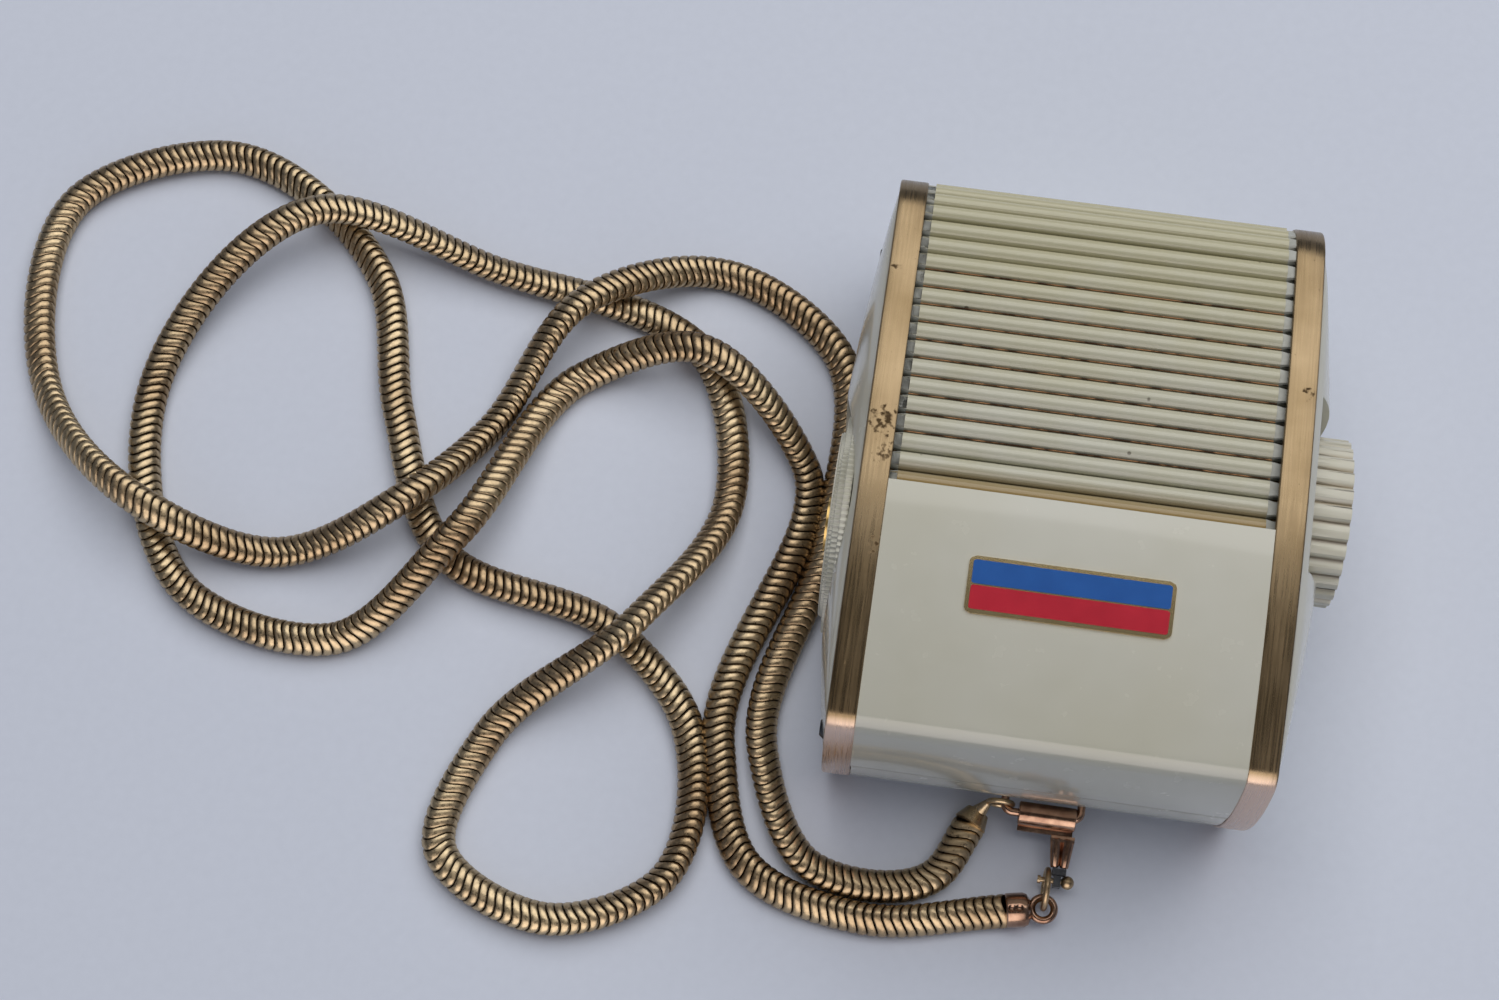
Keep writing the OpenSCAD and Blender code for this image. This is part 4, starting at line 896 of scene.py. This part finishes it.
# Copper-coloured wires lie in the grooves of the middle of the flight, where
# they stiffen the ribbon.
WIRE_R = 0.00008
WIRE_DEEP = 0.00055
WIRE_FIRST, WIRE_END = 2, 12
deselect_all()
wires = []
for i in range(WIRE_FIRST, WIRE_END):
    turn = last_turn - (i + 0.5) * SLAT_PITCH / ARCH_R
    bpy.ops.mesh.primitive_cylinder_add(
        vertices=8, radius=WIRE_R, depth=2 * SLAT_HALF, rotation=(0, math.pi / 2, 0)
    )
    wire = bpy.context.object
    bpy.ops.object.transform_apply(location=False, rotation=True, scale=False)
    wire.data.transform(on_flight(turn, ARCH_R - WIRE_DEEP))
    wires.append(wire)
for wire in wires:
    wire.select_set(True)
bpy.context.view_layer.objects.active = wires[0]
bpy.ops.object.join()
groove_wires = bpy.context.object
groove_wires.name = groove_wires.data.name = "groove_wires"
smooth(groove_wires, 60)
# Drawn copper: warm, with brown spots along it.
copper_wire, tree, shader = new_finish("drawn copper wire", {"Metallic": 1.0, "Roughness": 0.3})
where = add_node(tree, "TexCoord", {}, {})
spots = add_node(
    tree, "TexNoise", {"Scale": scale_of(1.8), "Detail": 4.0}, {"Vector": where.outputs["Object"]}
)
spot_share = add_node(tree, "MapRange", {"From Min": 0.45, "From Max": 0.6}, {"Value": spots.outputs["Fac"]})
tone = add_node(
    tree, "Mix", {"data_type": "RGBA", 6: linear("#8C6A4C"), 7: linear("#3E2C20")},
    {0: spot_share.outputs["Result"]},
)
tree.links.new(tone.outputs[2], shader.inputs["Base Color"])
groove_wires.data.materials.append(copper_wire)
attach(groove_wires, "blind")

dress("blind_ribbon", satin_brass)
dress("end_ribbon", satin_brass)


# Film speed knob. An ivory moulding with 27 rounded ribs, pressed on the shaft
# and turned against the dome. Its grooves are darker brown towards their bottoms.
KNOB_RIBS = 27
RIB_STEPS = 8
knob_low, knob_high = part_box("film_knob")
KNOB_R = (knob_high.z - knob_low.z) / 2
KNOB_T = knob_high.x - knob_low.x
knob_centre = (knob_low + knob_high) / 2
RIB_DEEP = 0.0006
RIB_FLAT = 0.35
RIB_CURVE = 1.5
# Rings on the outer end: how far each lies inside the rim and how high it stands.
# From the round one inwards they lose the ribs.
KNOB_RINGS = ((0.0006, 0.0), (0.0014, 0.0), (0.0017, -0.00035), (0.0026, -0.00035))
ROUND_RING = 0.0014

deselect_all()
bpy.ops.mesh.primitive_cylinder_add(
    vertices=KNOB_RIBS * RIB_STEPS, radius=KNOB_R, depth=KNOB_T, rotation=(0, math.pi / 2, 0)
)
knob = bpy.context.object
knob.name = knob.data.name = "ribbed_knob"
bpy.ops.object.transform_apply(location=False, rotation=True, scale=False)
rib_depth = knob.data.attributes.new("rib_depth", "FLOAT", "POINT")
for vertex in knob.data.vertices:
    turn = math.atan2(vertex.co.z, vertex.co.y)
    phase = abs(((turn * KNOB_RIBS / (2 * math.pi)) % 1) - 0.5) * 2
    deep = RIB_DEEP * max(0.0, phase - RIB_FLAT) ** RIB_CURVE / (1 - RIB_FLAT) ** RIB_CURVE
    vertex.co.y *= 1 - deep / KNOB_R
    vertex.co.z *= 1 - deep / KNOB_R
    rib_depth.data[vertex.index].value = deep / RIB_DEEP
for face in knob.data.polygons:
    face.select = face.normal.x > 0.9
for ring_in, ring_up in KNOB_RINGS:
    bpy.ops.object.mode_set(mode="EDIT")
    bpy.ops.mesh.select_mode(type="FACE")
    bpy.ops.mesh.extrude_region_move(TRANSFORM_OT_translate={"value": (0, 0, 0)})
    bpy.ops.object.mode_set(mode="OBJECT")
    for vertex in knob.data.vertices:
        if vertex.select:
            turn = math.atan2(vertex.co.z, vertex.co.y)
            radius = KNOB_R - ring_in
            if ring_in < ROUND_RING:
                radius = min(radius, math.hypot(vertex.co.y, vertex.co.z))
            vertex.co = (KNOB_T / 2 + ring_up, radius * math.cos(turn), radius * math.sin(turn))
knob.data.transform(Matrix.Translation(knob_centre))
soften(knob, 0.00014, 2, 60)
smooth(knob, 40)

# Ribbed ivory: the plastic of the cover, brown along the bottom of each groove.
ribbed_ivory, tree, shader = new_finish("ribbed urea plastic", {"Roughness": 0.32, "Coat Weight": 0.2})
depth = add_node(tree, "Attribute", {"attribute_name": "rib_depth"}, {})
where = add_node(tree, "TexCoord", {}, {})
cloud = add_node(tree, "TexNoise", {"Scale": scale_of(3), "Detail": 3.0}, {"Vector": where.outputs["Object"]})
groove_brown = add_node(
    tree, "MapRange", {"From Min": 0.35, "From Max": 1.0, "To Max": 0.7}, {"Value": depth.outputs["Fac"]}
)
tone = add_node(
    tree, "Mix", {"data_type": "RGBA", 6: linear("#CFCCBE"), 7: linear("#C7C3AF")}, {0: cloud.outputs["Fac"]}
)
groove_browned = add_node(
    tree, "Mix", {"data_type": "RGBA", 7: linear("#8A7048")}, {0: groove_brown.outputs["Result"], 6: tone.outputs[2]}
)
tree.links.new(groove_browned.outputs[2], shader.inputs["Base Color"])
knob.data.materials.append(ribbed_ivory)
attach(knob, "knob")
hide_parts("film_knob")


# Calculator disc. A stepped ivory disc with a finely knurled rim that the thumb
# turns, held on its post by a slotted brass screw.
disc_low, disc_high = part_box("calculator_disc")
DISC_R = (disc_high.z - disc_low.z) / 2
DISC_TEETH = 132
TOOTH_DEEP = 0.00028
DISC_RIM_T = 0.0008
# Steps of the disc towards its middle: how far in and how much higher.
DISC_STEPS = ((0.0016, 0.0007), (0.0013, 0.0004))
disc_centre = (disc_low + disc_high) / 2

deselect_all()
bpy.ops.mesh.primitive_cylinder_add(
    vertices=2 * DISC_TEETH, radius=DISC_R, depth=DISC_RIM_T, rotation=(0, -math.pi / 2, 0)
)
disc = bpy.context.object
disc.name = disc.data.name = "knurled_disc"
bpy.ops.object.transform_apply(location=False, rotation=True, scale=False)
for vertex in disc.data.vertices:
    tooth = round(math.atan2(vertex.co.z, vertex.co.y) / math.pi * DISC_TEETH)
    if tooth % 2:
        vertex.co.y *= 1 - TOOTH_DEEP / DISC_R
        vertex.co.z *= 1 - TOOTH_DEEP / DISC_R
for face in disc.data.polygons:
    face.select = face.normal.x < -0.9
bpy.ops.object.mode_set(mode="EDIT")
bpy.ops.mesh.select_mode(type="FACE")
for step_in, step_up in DISC_STEPS:
    bpy.ops.mesh.inset(thickness=step_in)
    bpy.ops.mesh.extrude_region_move(TRANSFORM_OT_translate={"value": (-step_up, 0, 0)})
bpy.ops.object.mode_set(mode="OBJECT")
disc.data.transform(Matrix.Translation((disc_high.x - DISC_RIM_T / 2, disc_centre.y, disc_centre.z)))
soften(disc, 0.00008, 2, 60)
smooth(disc, 30)
disc.data.materials.append(ivory)
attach(disc, "disc")
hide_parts("calculator_disc")


# Tick marks printed on the disc's card: 72 short bars in two rings, every third
# one longer. They carry no figures.
insert_low, insert_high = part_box("dial_insert")
INSERT_R = (insert_high.z - insert_low.z) / 2
TICK_COUNT = 72
TICK_T = 0.00003
TICK_WIDE = 0.00012
TICK_SUNK = 0.4
# Each ring of marks: its outer radius and the length of a long and a short mark.
TICK_RINGS = ((INSERT_R - 0.0004, 0.0013, 0.0008), (INSERT_R - 0.0032, 0.0010, 0.0006))
ticks = []
for i in range(TICK_COUNT):
    for outer, long_size, short_size in TICK_RINGS:
        reach = long_size if i % 3 == 0 else short_size
        bpy.ops.mesh.primitive_cube_add(size=1)
        tick = bpy.context.object
        tick.data.transform(
            Matrix.Translation((insert_low.x - TICK_SUNK * TICK_T, disc_centre.y, disc_centre.z))
            @ Matrix.Rotation(2 * math.pi * i / TICK_COUNT, 4, "X")
            @ Matrix.Translation((0, 0, outer - reach / 2))
            @ Matrix.Diagonal((TICK_T, TICK_WIDE, reach, 1))
        )
        ticks.append(tick)
deselect_all()
for tick in ticks:
    tick.select_set(True)
bpy.context.view_layer.objects.active = ticks[0]
bpy.ops.object.join()
tick_marks = bpy.context.object
tick_marks.name = tick_marks.data.name = "tick_marks"
# Printing ink: dull black.
ink_look = {"Roughness": 0.6, "Base Color": linear("#242322")}
black_ink, tree, shader = new_finish("black printing ink", ink_look)
tick_marks.data.materials.append(black_ink)
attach(tick_marks, "disc")


# Badge. A thin gilt plate bent to the cover, with a rolled rim round two plain
# enamel fields, blue above red. It carries no lettering.
BADGE_L = 0.0212
BADGE_W = 0.0059
BADGE_Y = -0.0147
BADGE_RIM = 0.00042
BADGE_CORNER = 0.0007
BADGE_T = 0.00028
FIELD_GAP = 0.00008
FIELD_CORNER = 0.00025
FIELD_LOW, FIELD_HIGH = 0.00027, 0.00036


def badge_field(name, width, height, shift_y, corner, low, high):
    """A rounded plate between two heights over the cover, bent to its arch."""
    deselect_all()
    bpy.ops.mesh.primitive_grid_add(x_subdivisions=2, y_subdivisions=24, size=1)
    field = bpy.context.object
    field.name = field.data.name = name
    field.data.transform(Matrix.Diagonal((width, height, 1, 1)))
    bpy.ops.object.mode_set(mode="EDIT")
    bpy.ops.mesh.select_all(action="SELECT")
    bpy.ops.mesh.extrude_region_move(TRANSFORM_OT_translate={"value": (0, 0, high - low)})
    bpy.ops.mesh.select_all(action="SELECT")
    bpy.ops.mesh.normals_make_consistent(inside=False)
    bpy.ops.object.mode_set(mode="OBJECT")
    for vertex in field.data.vertices:
        over = min(corner, max(0.0, abs(vertex.co.y) - (height / 2 - corner)))
        pulled = corner - math.sqrt(max(corner**2 - over**2, 0.0))
        vertex.co.x -= math.copysign(pulled, vertex.co.x) if abs(vertex.co.x) > width / 4 else 0
        y = vertex.co.y + BADGE_Y + shift_y
        lift = arch_centre.y + math.sqrt((ARCH_R - COVER_INSET) ** 2 - y**2)
        vertex.co.y = y
        vertex.co.z += lift + low
    return field


# Polished gilt: bright yellow metal with faint clouds from rubbing.
polished_gilt, tree, shader = new_finish("polished gilt", {"Metallic": 1.0, "Roughness": 0.2})
where = add_node(tree, "TexCoord", {}, {})
cloud = add_node(
    tree, "TexNoise", {"Scale": scale_of(1.5), "Detail": 3.0}, {"Vector": where.outputs["Object"]}
)
tone = add_node(
    tree, "Mix", {"data_type": "RGBA", 6: linear("#F0DDAE"), 7: linear("#D9BE86")}, {0: cloud.outputs["Fac"]}
)
tree.links.new(tone.outputs[2], shader.inputs["Base Color"])

badge = badge_field("badge_plate_gilt", BADGE_L, BADGE_W, 0, BADGE_CORNER, 0.0, BADGE_T)
smooth(badge, 30)
badge.data.materials.append(polished_gilt)
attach(badge, "case")
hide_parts("badge_plate")

# Vitreous enamel: deep glassy colour, slightly uneven where it was fired.
for name, colour, deeper, side in (("blue", "#2867B8", "#2058A4", 1), ("red", "#D4263C", "#BA1E32", -1)):
    enamel, tree, shader = new_finish(name + " vitreous enamel", {"Roughness": 0.14, "Coat Weight": 0.5})
    where = add_node(tree, "TexCoord", {}, {})
    cloud = add_node(
        tree, "TexNoise", {"Scale": scale_of(2.5), "Detail": 2.0}, {"Vector": where.outputs["Object"]}
    )
    tone = add_node(
        tree, "Mix", {"data_type": "RGBA", 6: linear(colour), 7: linear(deeper)}, {0: cloud.outputs["Fac"]}
    )
    tree.links.new(tone.outputs[2], shader.inputs["Base Color"])
    high = (BADGE_W - 2 * BADGE_RIM) / 2 - FIELD_GAP
    shift = side * (high / 2 + FIELD_GAP)
    field = badge_field(
        name + "_enamel_field", BADGE_L - 2 * BADGE_RIM, high, shift, FIELD_CORNER, FIELD_LOW, FIELD_HIGH
    )
    smooth(field, 30)
    field.data.materials.append(enamel)
    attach(field, "case")
    if side > 0:
        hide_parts("badge_enamel")


# Bail, clasp, jump ring and chain ends. Drawn and stamped brass, rose gilt and
# worn to a soft shine. The clasp hangs on the wire bail, and the jump ring ties
# it to the chain.
rose_gilt, tree, shader = new_finish("rose gilt brass", {"Metallic": 1.0})
where = add_node(tree, "TexCoord", {}, {})
cloud = add_node(
    tree, "TexNoise", {"Scale": scale_of(1.6), "Detail": 4.0}, {"Vector": where.outputs["Object"]}
)
fine = add_node(
    tree, "TexNoise", {"Scale": scale_of(0.25), "Detail": 2.0}, {"Vector": where.outputs["Object"]}
)
worn = add_node(tree, "MapRange", {"From Min": 0.35, "From Max": 0.7}, {"Value": cloud.outputs["Fac"]})
tone = add_node(
    tree, "Mix", {"data_type": "RGBA", 6: linear("#AE8F79"), 7: linear("#836352")},
    {0: worn.outputs["Result"]},
)
rough = add_node(
    tree, "MapRange", {"From Min": 0.3, "From Max": 0.7, "To Min": 0.16, "To Max": 0.26},
    {"Value": fine.outputs["Fac"]},
)
tree.links.new(tone.outputs[2], shader.inputs["Base Color"])
tree.links.new(rough.outputs["Result"], shader.inputs["Roughness"])


def turned(name, start, end, outline, sides):
    """A turned solid on the line between two points, from (share of the line, radius) pairs."""
    deselect_all()
    bpy.ops.mesh.primitive_circle_add(vertices=sides, radius=outline[0][1], fill_type="NGON")
    piece = bpy.context.object
    piece.name = piece.data.name = name
    line = Vector(end) - Vector(start)
    bpy.ops.object.mode_set(mode="EDIT")
    bpy.ops.mesh.select_all(action="SELECT")
    for (share_a, radius_a), (share_b, radius_b) in zip(outline, outline[1:]):
        rise, swell = (share_b - share_a) * line.length, radius_b / radius_a
        bpy.ops.mesh.extrude_region_move(TRANSFORM_OT_translate={"value": (0, 0, rise)})
        bpy.ops.transform.resize(value=(swell, swell, 1), center_override=(0, 0, 0))
    bpy.ops.mesh.select_all(action="SELECT")
    bpy.ops.mesh.normals_make_consistent(inside=False)
    bpy.ops.object.mode_set(mode="OBJECT")
    piece.data.transform(Matrix.Translation(start) @ line.to_track_quat("Z", "Y").to_matrix().to_4x4())
    return piece


WIRE_STEP = 0.001


def level_wire(name, line, z, radius, sides):
    """A round wire along (x, y) points at one height."""
    deselect_all()
    bpy.ops.mesh.primitive_circle_add(vertices=sides, radius=radius, fill_type="NGON")
    wire = bpy.context.object
    wire.name = wire.data.name = name
    bpy.ops.object.mode_set(mode="EDIT")
    bpy.ops.mesh.select_all(action="SELECT")
    for _ in line[1:]:
        bpy.ops.mesh.extrude_region_move(TRANSFORM_OT_translate={"value": (0, 0, WIRE_STEP)})
    bpy.ops.mesh.select_all(action="SELECT")
    bpy.ops.object.mode_set(mode="OBJECT")
    for vertex in wire.data.vertices:
        k = round(vertex.co.z / WIRE_STEP)
        ahead = (line[min(k + 1, len(line) - 1)] - line[max(k - 1, 0)]).normalized()
        aside = vertex.co.x * Vector((ahead.y, -ahead.x))
        vertex.co = (line[k].x + aside.x, line[k].y + aside.y, z + vertex.co.y)
    only(wire)
    bpy.ops.object.mode_set(mode="EDIT")
    bpy.ops.mesh.select_all(action="SELECT")
    bpy.ops.mesh.normals_make_consistent(inside=False)
    bpy.ops.object.mode_set(mode="OBJECT")
    return wire


def weld_on(thing, other):
    """Makes one solid of two that overlap."""
    weld = thing.modifiers.new("weld", "BOOLEAN")
    weld.operation = "UNION"
    weld.solver = "EXACT"
    weld.object = other
    apply_modifiers(thing)
    bpy.data.objects.remove(other)


# The bail is one wire, bent round twice, with a plate across its ends inside.
bail_low, bail_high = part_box("bail_wire")
barrel_low, barrel_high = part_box("clasp_barrel")
BAIL_R = 0.00045
BAIL_BEND = 0.0009
BAIL_LEG_IN = 0.001
BAIL_LEG_SHORT = 0.0005
BAIL_PLATE_T = 0.0008
bail_y, bail_z = bail_low.y + BAIL_R, (bail_low.z + bail_high.z) / 2
bail_x0, bail_x1 = bail_low.x + BAIL_LEG_IN, bail_high.x - BAIL_LEG_IN
bail_line = [Vector((bail_x0, bail_high.y - BAIL_LEG_SHORT))]
for x, start in ((bail_x0 + BAIL_BEND, math.pi), (bail_x1 - BAIL_BEND, 1.5 * math.pi)):
    centre = Vector((x, bail_y + BAIL_BEND))
    bail_line.append(centre + BAIL_BEND * Vector((math.cos(start), math.sin(start))))
    bail_line += arc(centre, BAIL_BEND, start, start + math.pi / 2, 10)
bail_line.append(Vector((bail_x1, bail_high.y - BAIL_LEG_SHORT)))
bail = level_wire("bail_wire_bent", bail_line, bail_z, BAIL_R, 20)
weld_on(bail, box_cutter((bail_low.x, bail_high.y - BAIL_PLATE_T, bail_low.z), bail_high))
smooth(bail, 40)

# The barrel is rolled from strip round the bail. Its tail runs on below.
BARREL_R = barrel_high.z - bail_z
BARREL_EDGE = 0.0001
BARREL_PLAY = 0.00005
BARREL_OUTLINE = (
    (0.0, BARREL_R - BARREL_EDGE), (0.016, BARREL_R), (0.984, BARREL_R), (1.0, BARREL_R - BARREL_EDGE),
)
TAIL_T = 0.0005
barrel_start, barrel_end = (barrel_low.x, bail_y, bail_z), (barrel_high.x, bail_y, bail_z)
barrel = turned("rolled_barrel", barrel_start, barrel_end, BARREL_OUTLINE, 48)
tail = box_cutter(
    (barrel_low.x + BARREL_EDGE, barrel_low.y, barrel_low.z),
    (barrel_high.x - BARREL_EDGE, bail_y, barrel_low.z + TAIL_T),
)
weld_on(barrel, tail)
cut(barrel, round_cutter(BAIL_R + BARREL_PLAY, barrel_low.x - 0.001, barrel_high.x + 0.001, bail_y, bail_z))
soften(barrel, 0.0001, 2, 40)
smooth(barrel, 35)

# The hook has two tapered prongs that grow from one root under the tail.
hook_low, hook_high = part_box("clasp_hook")
hook_x = (hook_low.x + hook_high.x) / 2
ROOT_LONG = 0.0007
ROOT_DEEP = 0.0017
PRONG_OUTLINE = (
    (0.0, 0.00060), (0.03, 0.00070), (0.5, 0.00061), (0.92, 0.00051), (0.98, 0.00044), (1.0, 0.00030),
)
prongs = box_cutter(
    (hook_low.x, hook_high.y - ROOT_LONG, bail_z - ROOT_DEEP),
    (hook_high.x, hook_high.y, hook_high.z - BARREL_EDGE),
)
for side in (-1, 1):
    prong_root = (hook_x + side * 0.00067, hook_high.y - 0.0002, 0.0035)
    prong_tip = (hook_x + side * 0.0005, hook_low.y + 0.0001, 0.0030)
    weld_on(prongs, turned("prong", prong_root, prong_tip, PRONG_OUTLINE, 28))
prongs.name = prongs.data.name = "clasp_prongs"
soften(prongs, 0.00008, 2, 45)
smooth(prongs, 35)

# The collar on the chain's first end is crimped in two places and carries an eye.
COLLAR_R = 0.0019
COLLAR_LONG = 0.0027
COLLAR_OUTLINE = ((0.0, 0.00178), (0.05, COLLAR_R), (0.72, COLLAR_R), (0.88, 0.00172), (1.0, 0.00115))
EYE_R, EYE_WIRE_R, EYE_OUT = 0.00125, 0.00042, 0.0041
CRIMP_R, CRIMP_UP = 0.00048, 0.00022
CRIMP_SHARES = (0.22, 0.52)
collar_way = -chain_slope(0).normalized()
collar_start = Vector((CHAIN_POINTS[0].x, CHAIN_POINTS[0].y, COLLAR_R))
collar_end = collar_start + COLLAR_LONG * collar_way
collar = turned("crimped_collar", collar_start, collar_end, COLLAR_OUTLINE, 44)
bpy.ops.mesh.primitive_torus_add(
    major_segments=44, minor_segments=14, major_radius=EYE_R, minor_radius=EYE_WIRE_R,
    location=collar_start + EYE_OUT * collar_way,
)
weld_on(collar, bpy.context.object)
for share in CRIMP_SHARES:
    crimp = collar_start + share * COLLAR_LONG * collar_way + Vector((0, 0, COLLAR_R + CRIMP_UP))
    bpy.ops.mesh.primitive_uv_sphere_add(segments=20, ring_count=12, radius=CRIMP_R, location=crimp)
    cut(collar, bpy.context.object)
soften(collar, 0.00006, 2, 45)
smooth(collar, 35)

for thing, body, node, slot in (
    (bail, "case", "bail_wire", "clasp_brass"),
    (barrel, "clasp", "clasp_barrel", "clasp_brass"),
    (prongs, "clasp", "clasp_hook", "clasp_brass"),
    (collar, "case", "ferrule_a", "clasp_brass"),
):
    thing.data.materials.append(rose_gilt)
    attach(thing, body)
    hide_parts(node)
for node in ("clasp_pin", "ferrule_b", "jump_ring"):
    dress(node, aged_brass)


# Screws, plates and the parts inside. Steel, bakelite, copper and card, each in
# the plain finish it leaves the shop with.
def plain_finish(name, light, dark, metallic, roughness, size):
    """A finish of two close tones in patches of that size, in millimetres."""
    material, tree, shader = new_finish(name, {"Metallic": metallic, "Roughness": roughness})
    where = add_node(tree, "TexCoord", {}, {})
    cloud = add_node(
        tree, "TexNoise", {"Scale": scale_of(size), "Detail": 4.0}, {"Vector": where.outputs["Object"]}
    )
    tone = add_node(
        tree, "Mix", {"data_type": "RGBA", 6: linear(light), 7: linear(dark)}, {0: cloud.outputs["Fac"]}
    )
    tree.links.new(tone.outputs[2], shader.inputs["Base Color"])
    return material


blued_steel = plain_finish("blued steel", "#5C5E62", "#2F3135", 1.0, 0.35, 0.6)
rolled_steel = plain_finish("rolled steel sheet", "#B4B6B8", "#94979A", 1.0, 0.32, 1.5)
bakelite = plain_finish("brown bakelite", "#4A3222", "#36241A", 0.0, 0.35, 1.2)
selenium = plain_finish("selenium coating", "#4C4E56", "#3A3B44", 0.6, 0.3, 2.0)
copper = plain_finish("enamelled copper wire", "#B56A3C", "#8C4A26", 1.0, 0.3, 0.3)
card = plain_finish("printed card", "#D6D3C8", "#CDC9BA", 0.0, 0.7, 1.0)
black_paint = plain_finish("matt black paint", "#1C1C1D", "#121213", 0.0, 0.6, 0.5)
gilt = plain_finish("gilt dial metal", "#DDBE7E", "#C9A664", 1.0, 0.3, 2.0)
for nodes, material in (
    (("face_screws", "back_screws", "clasp_swivel", "knob_clip", "magnet"), blued_steel),
    (("left_plate", "right_plate", "tie_rods", "pillars"), rolled_steel),
    (("pole_core", "pivot_staff", "zero_screw", "knob_shaft"), rolled_steel),
    (("deck", "terminal_strip", "cell_frame", "resistor_ring"), bakelite),
    (("cell_plate",), selenium),
    (("cell_contact", "moving_coil", "hairsprings"), copper),
    (("scale_plate", "dial_insert"), card),
    (("needle",), black_paint),
    (("disc_post", "disc_screw", "knob_cap", "wiper_arm"), gilt),
    (("front_bridge", "rear_bridge", "jewel_screws"), gilt),
):
    for node in nodes:
        dress(node, material)

dress("lens_panel", clear_acrylic)


# Paper and lamps. A sheet of pale cool paper under a large soft lamp on the far
# side and a weak fill; none of it belongs to the meter.
deselect_all()
bpy.ops.mesh.primitive_plane_add(size=3.0, location=(0, 0, 0))
table = bpy.context.object
table.name = table.data.name = "paper_sheet"
paper, tree, shader = new_finish("cool white paper", {"Roughness": 0.9})
where = add_node(tree, "TexCoord", {}, {})
fibre = add_node(
    tree, "TexNoise", {"Scale": scale_of(1.2), "Detail": 4.0}, {"Vector": where.outputs["Object"]}
)
tone = add_node(
    tree, "Mix", {"data_type": "RGBA", 6: linear("#DEE4F2"), 7: linear("#D8DEEC")}, {0: fibre.outputs["Fac"]}
)
tree.links.new(tone.outputs[2], shader.inputs["Base Color"])
table.data.materials.append(paper)


def soft_lamp(name, place, target, size, power, colour):
    """A square soft lamp that faces the target."""
    lamp = bpy.data.lights.new(name, "AREA")
    lamp.size = size
    lamp.energy = power
    lamp.color = linear(colour)[:3]
    holder = bpy.data.objects.new(name, lamp)
    bpy.context.scene.collection.objects.link(holder)
    aim = Vector(place) - Vector(target)
    holder.matrix_world = Matrix.Translation(place) @ aim.to_track_quat("Z", "Y").to_matrix().to_4x4()
    return holder


soft_lamp("window_lamp", (0.12, 0.50, 1.05), (0, 0, 0), 1.4, 12.4, "#FFFDFA")
soft_lamp("fill_lamp", (0.1, -1.1, 0.36), (0, 0, 0), 1.1, 1.0, "#F6F8FF")

# The room behind the near side shows as a pale gleam in the turned-down brass.
# It lights nothing else.
gleam = soft_lamp("near_gleam", (0.0, -0.62, 0.50), (0, -0.03, 0.02), 1.0, 6.0, "#FFF4EE")
gleam.visible_diffuse = False

# A black card over the near side keeps the top of the case from mirroring the
# lamps. It shows only in reflections and shades nothing.
bpy.ops.mesh.primitive_grid_add(x_subdivisions=2, y_subdivisions=2, size=1)
card_over = bpy.context.object
card_over.name = card_over.data.name = "black_card"
card_over.data.transform(Matrix.Translation((-0.02, -0.085, 0.34)) @ Matrix.Diagonal((0.5, 0.27, 1, 1)))
black_card, tree, shader = new_finish("black card", {"Roughness": 0.9, "Base Color": linear("#1A1A1C")})
card_over.data.materials.append(black_card)
card_over.visible_camera = False
card_over.visible_diffuse = False
card_over.visible_shadow = False
card_over.visible_transmission = False

world = bpy.data.worlds.new("soft room")
bpy.context.scene.world = world
world.use_nodes = True
tree = world.node_tree
tree.nodes.clear()
path = add_node(tree, "LightPath", {}, {})
room = add_node(tree, "Background", {"Color": linear("#BFC8DC"), "Strength": 0.19}, {})
plain = add_node(tree, "Background", {"Color": linear("#FFFFFF"), "Strength": 1.0}, {})
shown = add_node(
    tree, "MixShader", {}, {0: path.outputs["Is Camera Ray"], 1: room.outputs[0], 2: plain.outputs[0]}
)
add_node(tree, "OutputWorld", {}, {"Surface": shown.outputs[0]})
bpy.context.scene.view_settings.view_transform = "Standard"
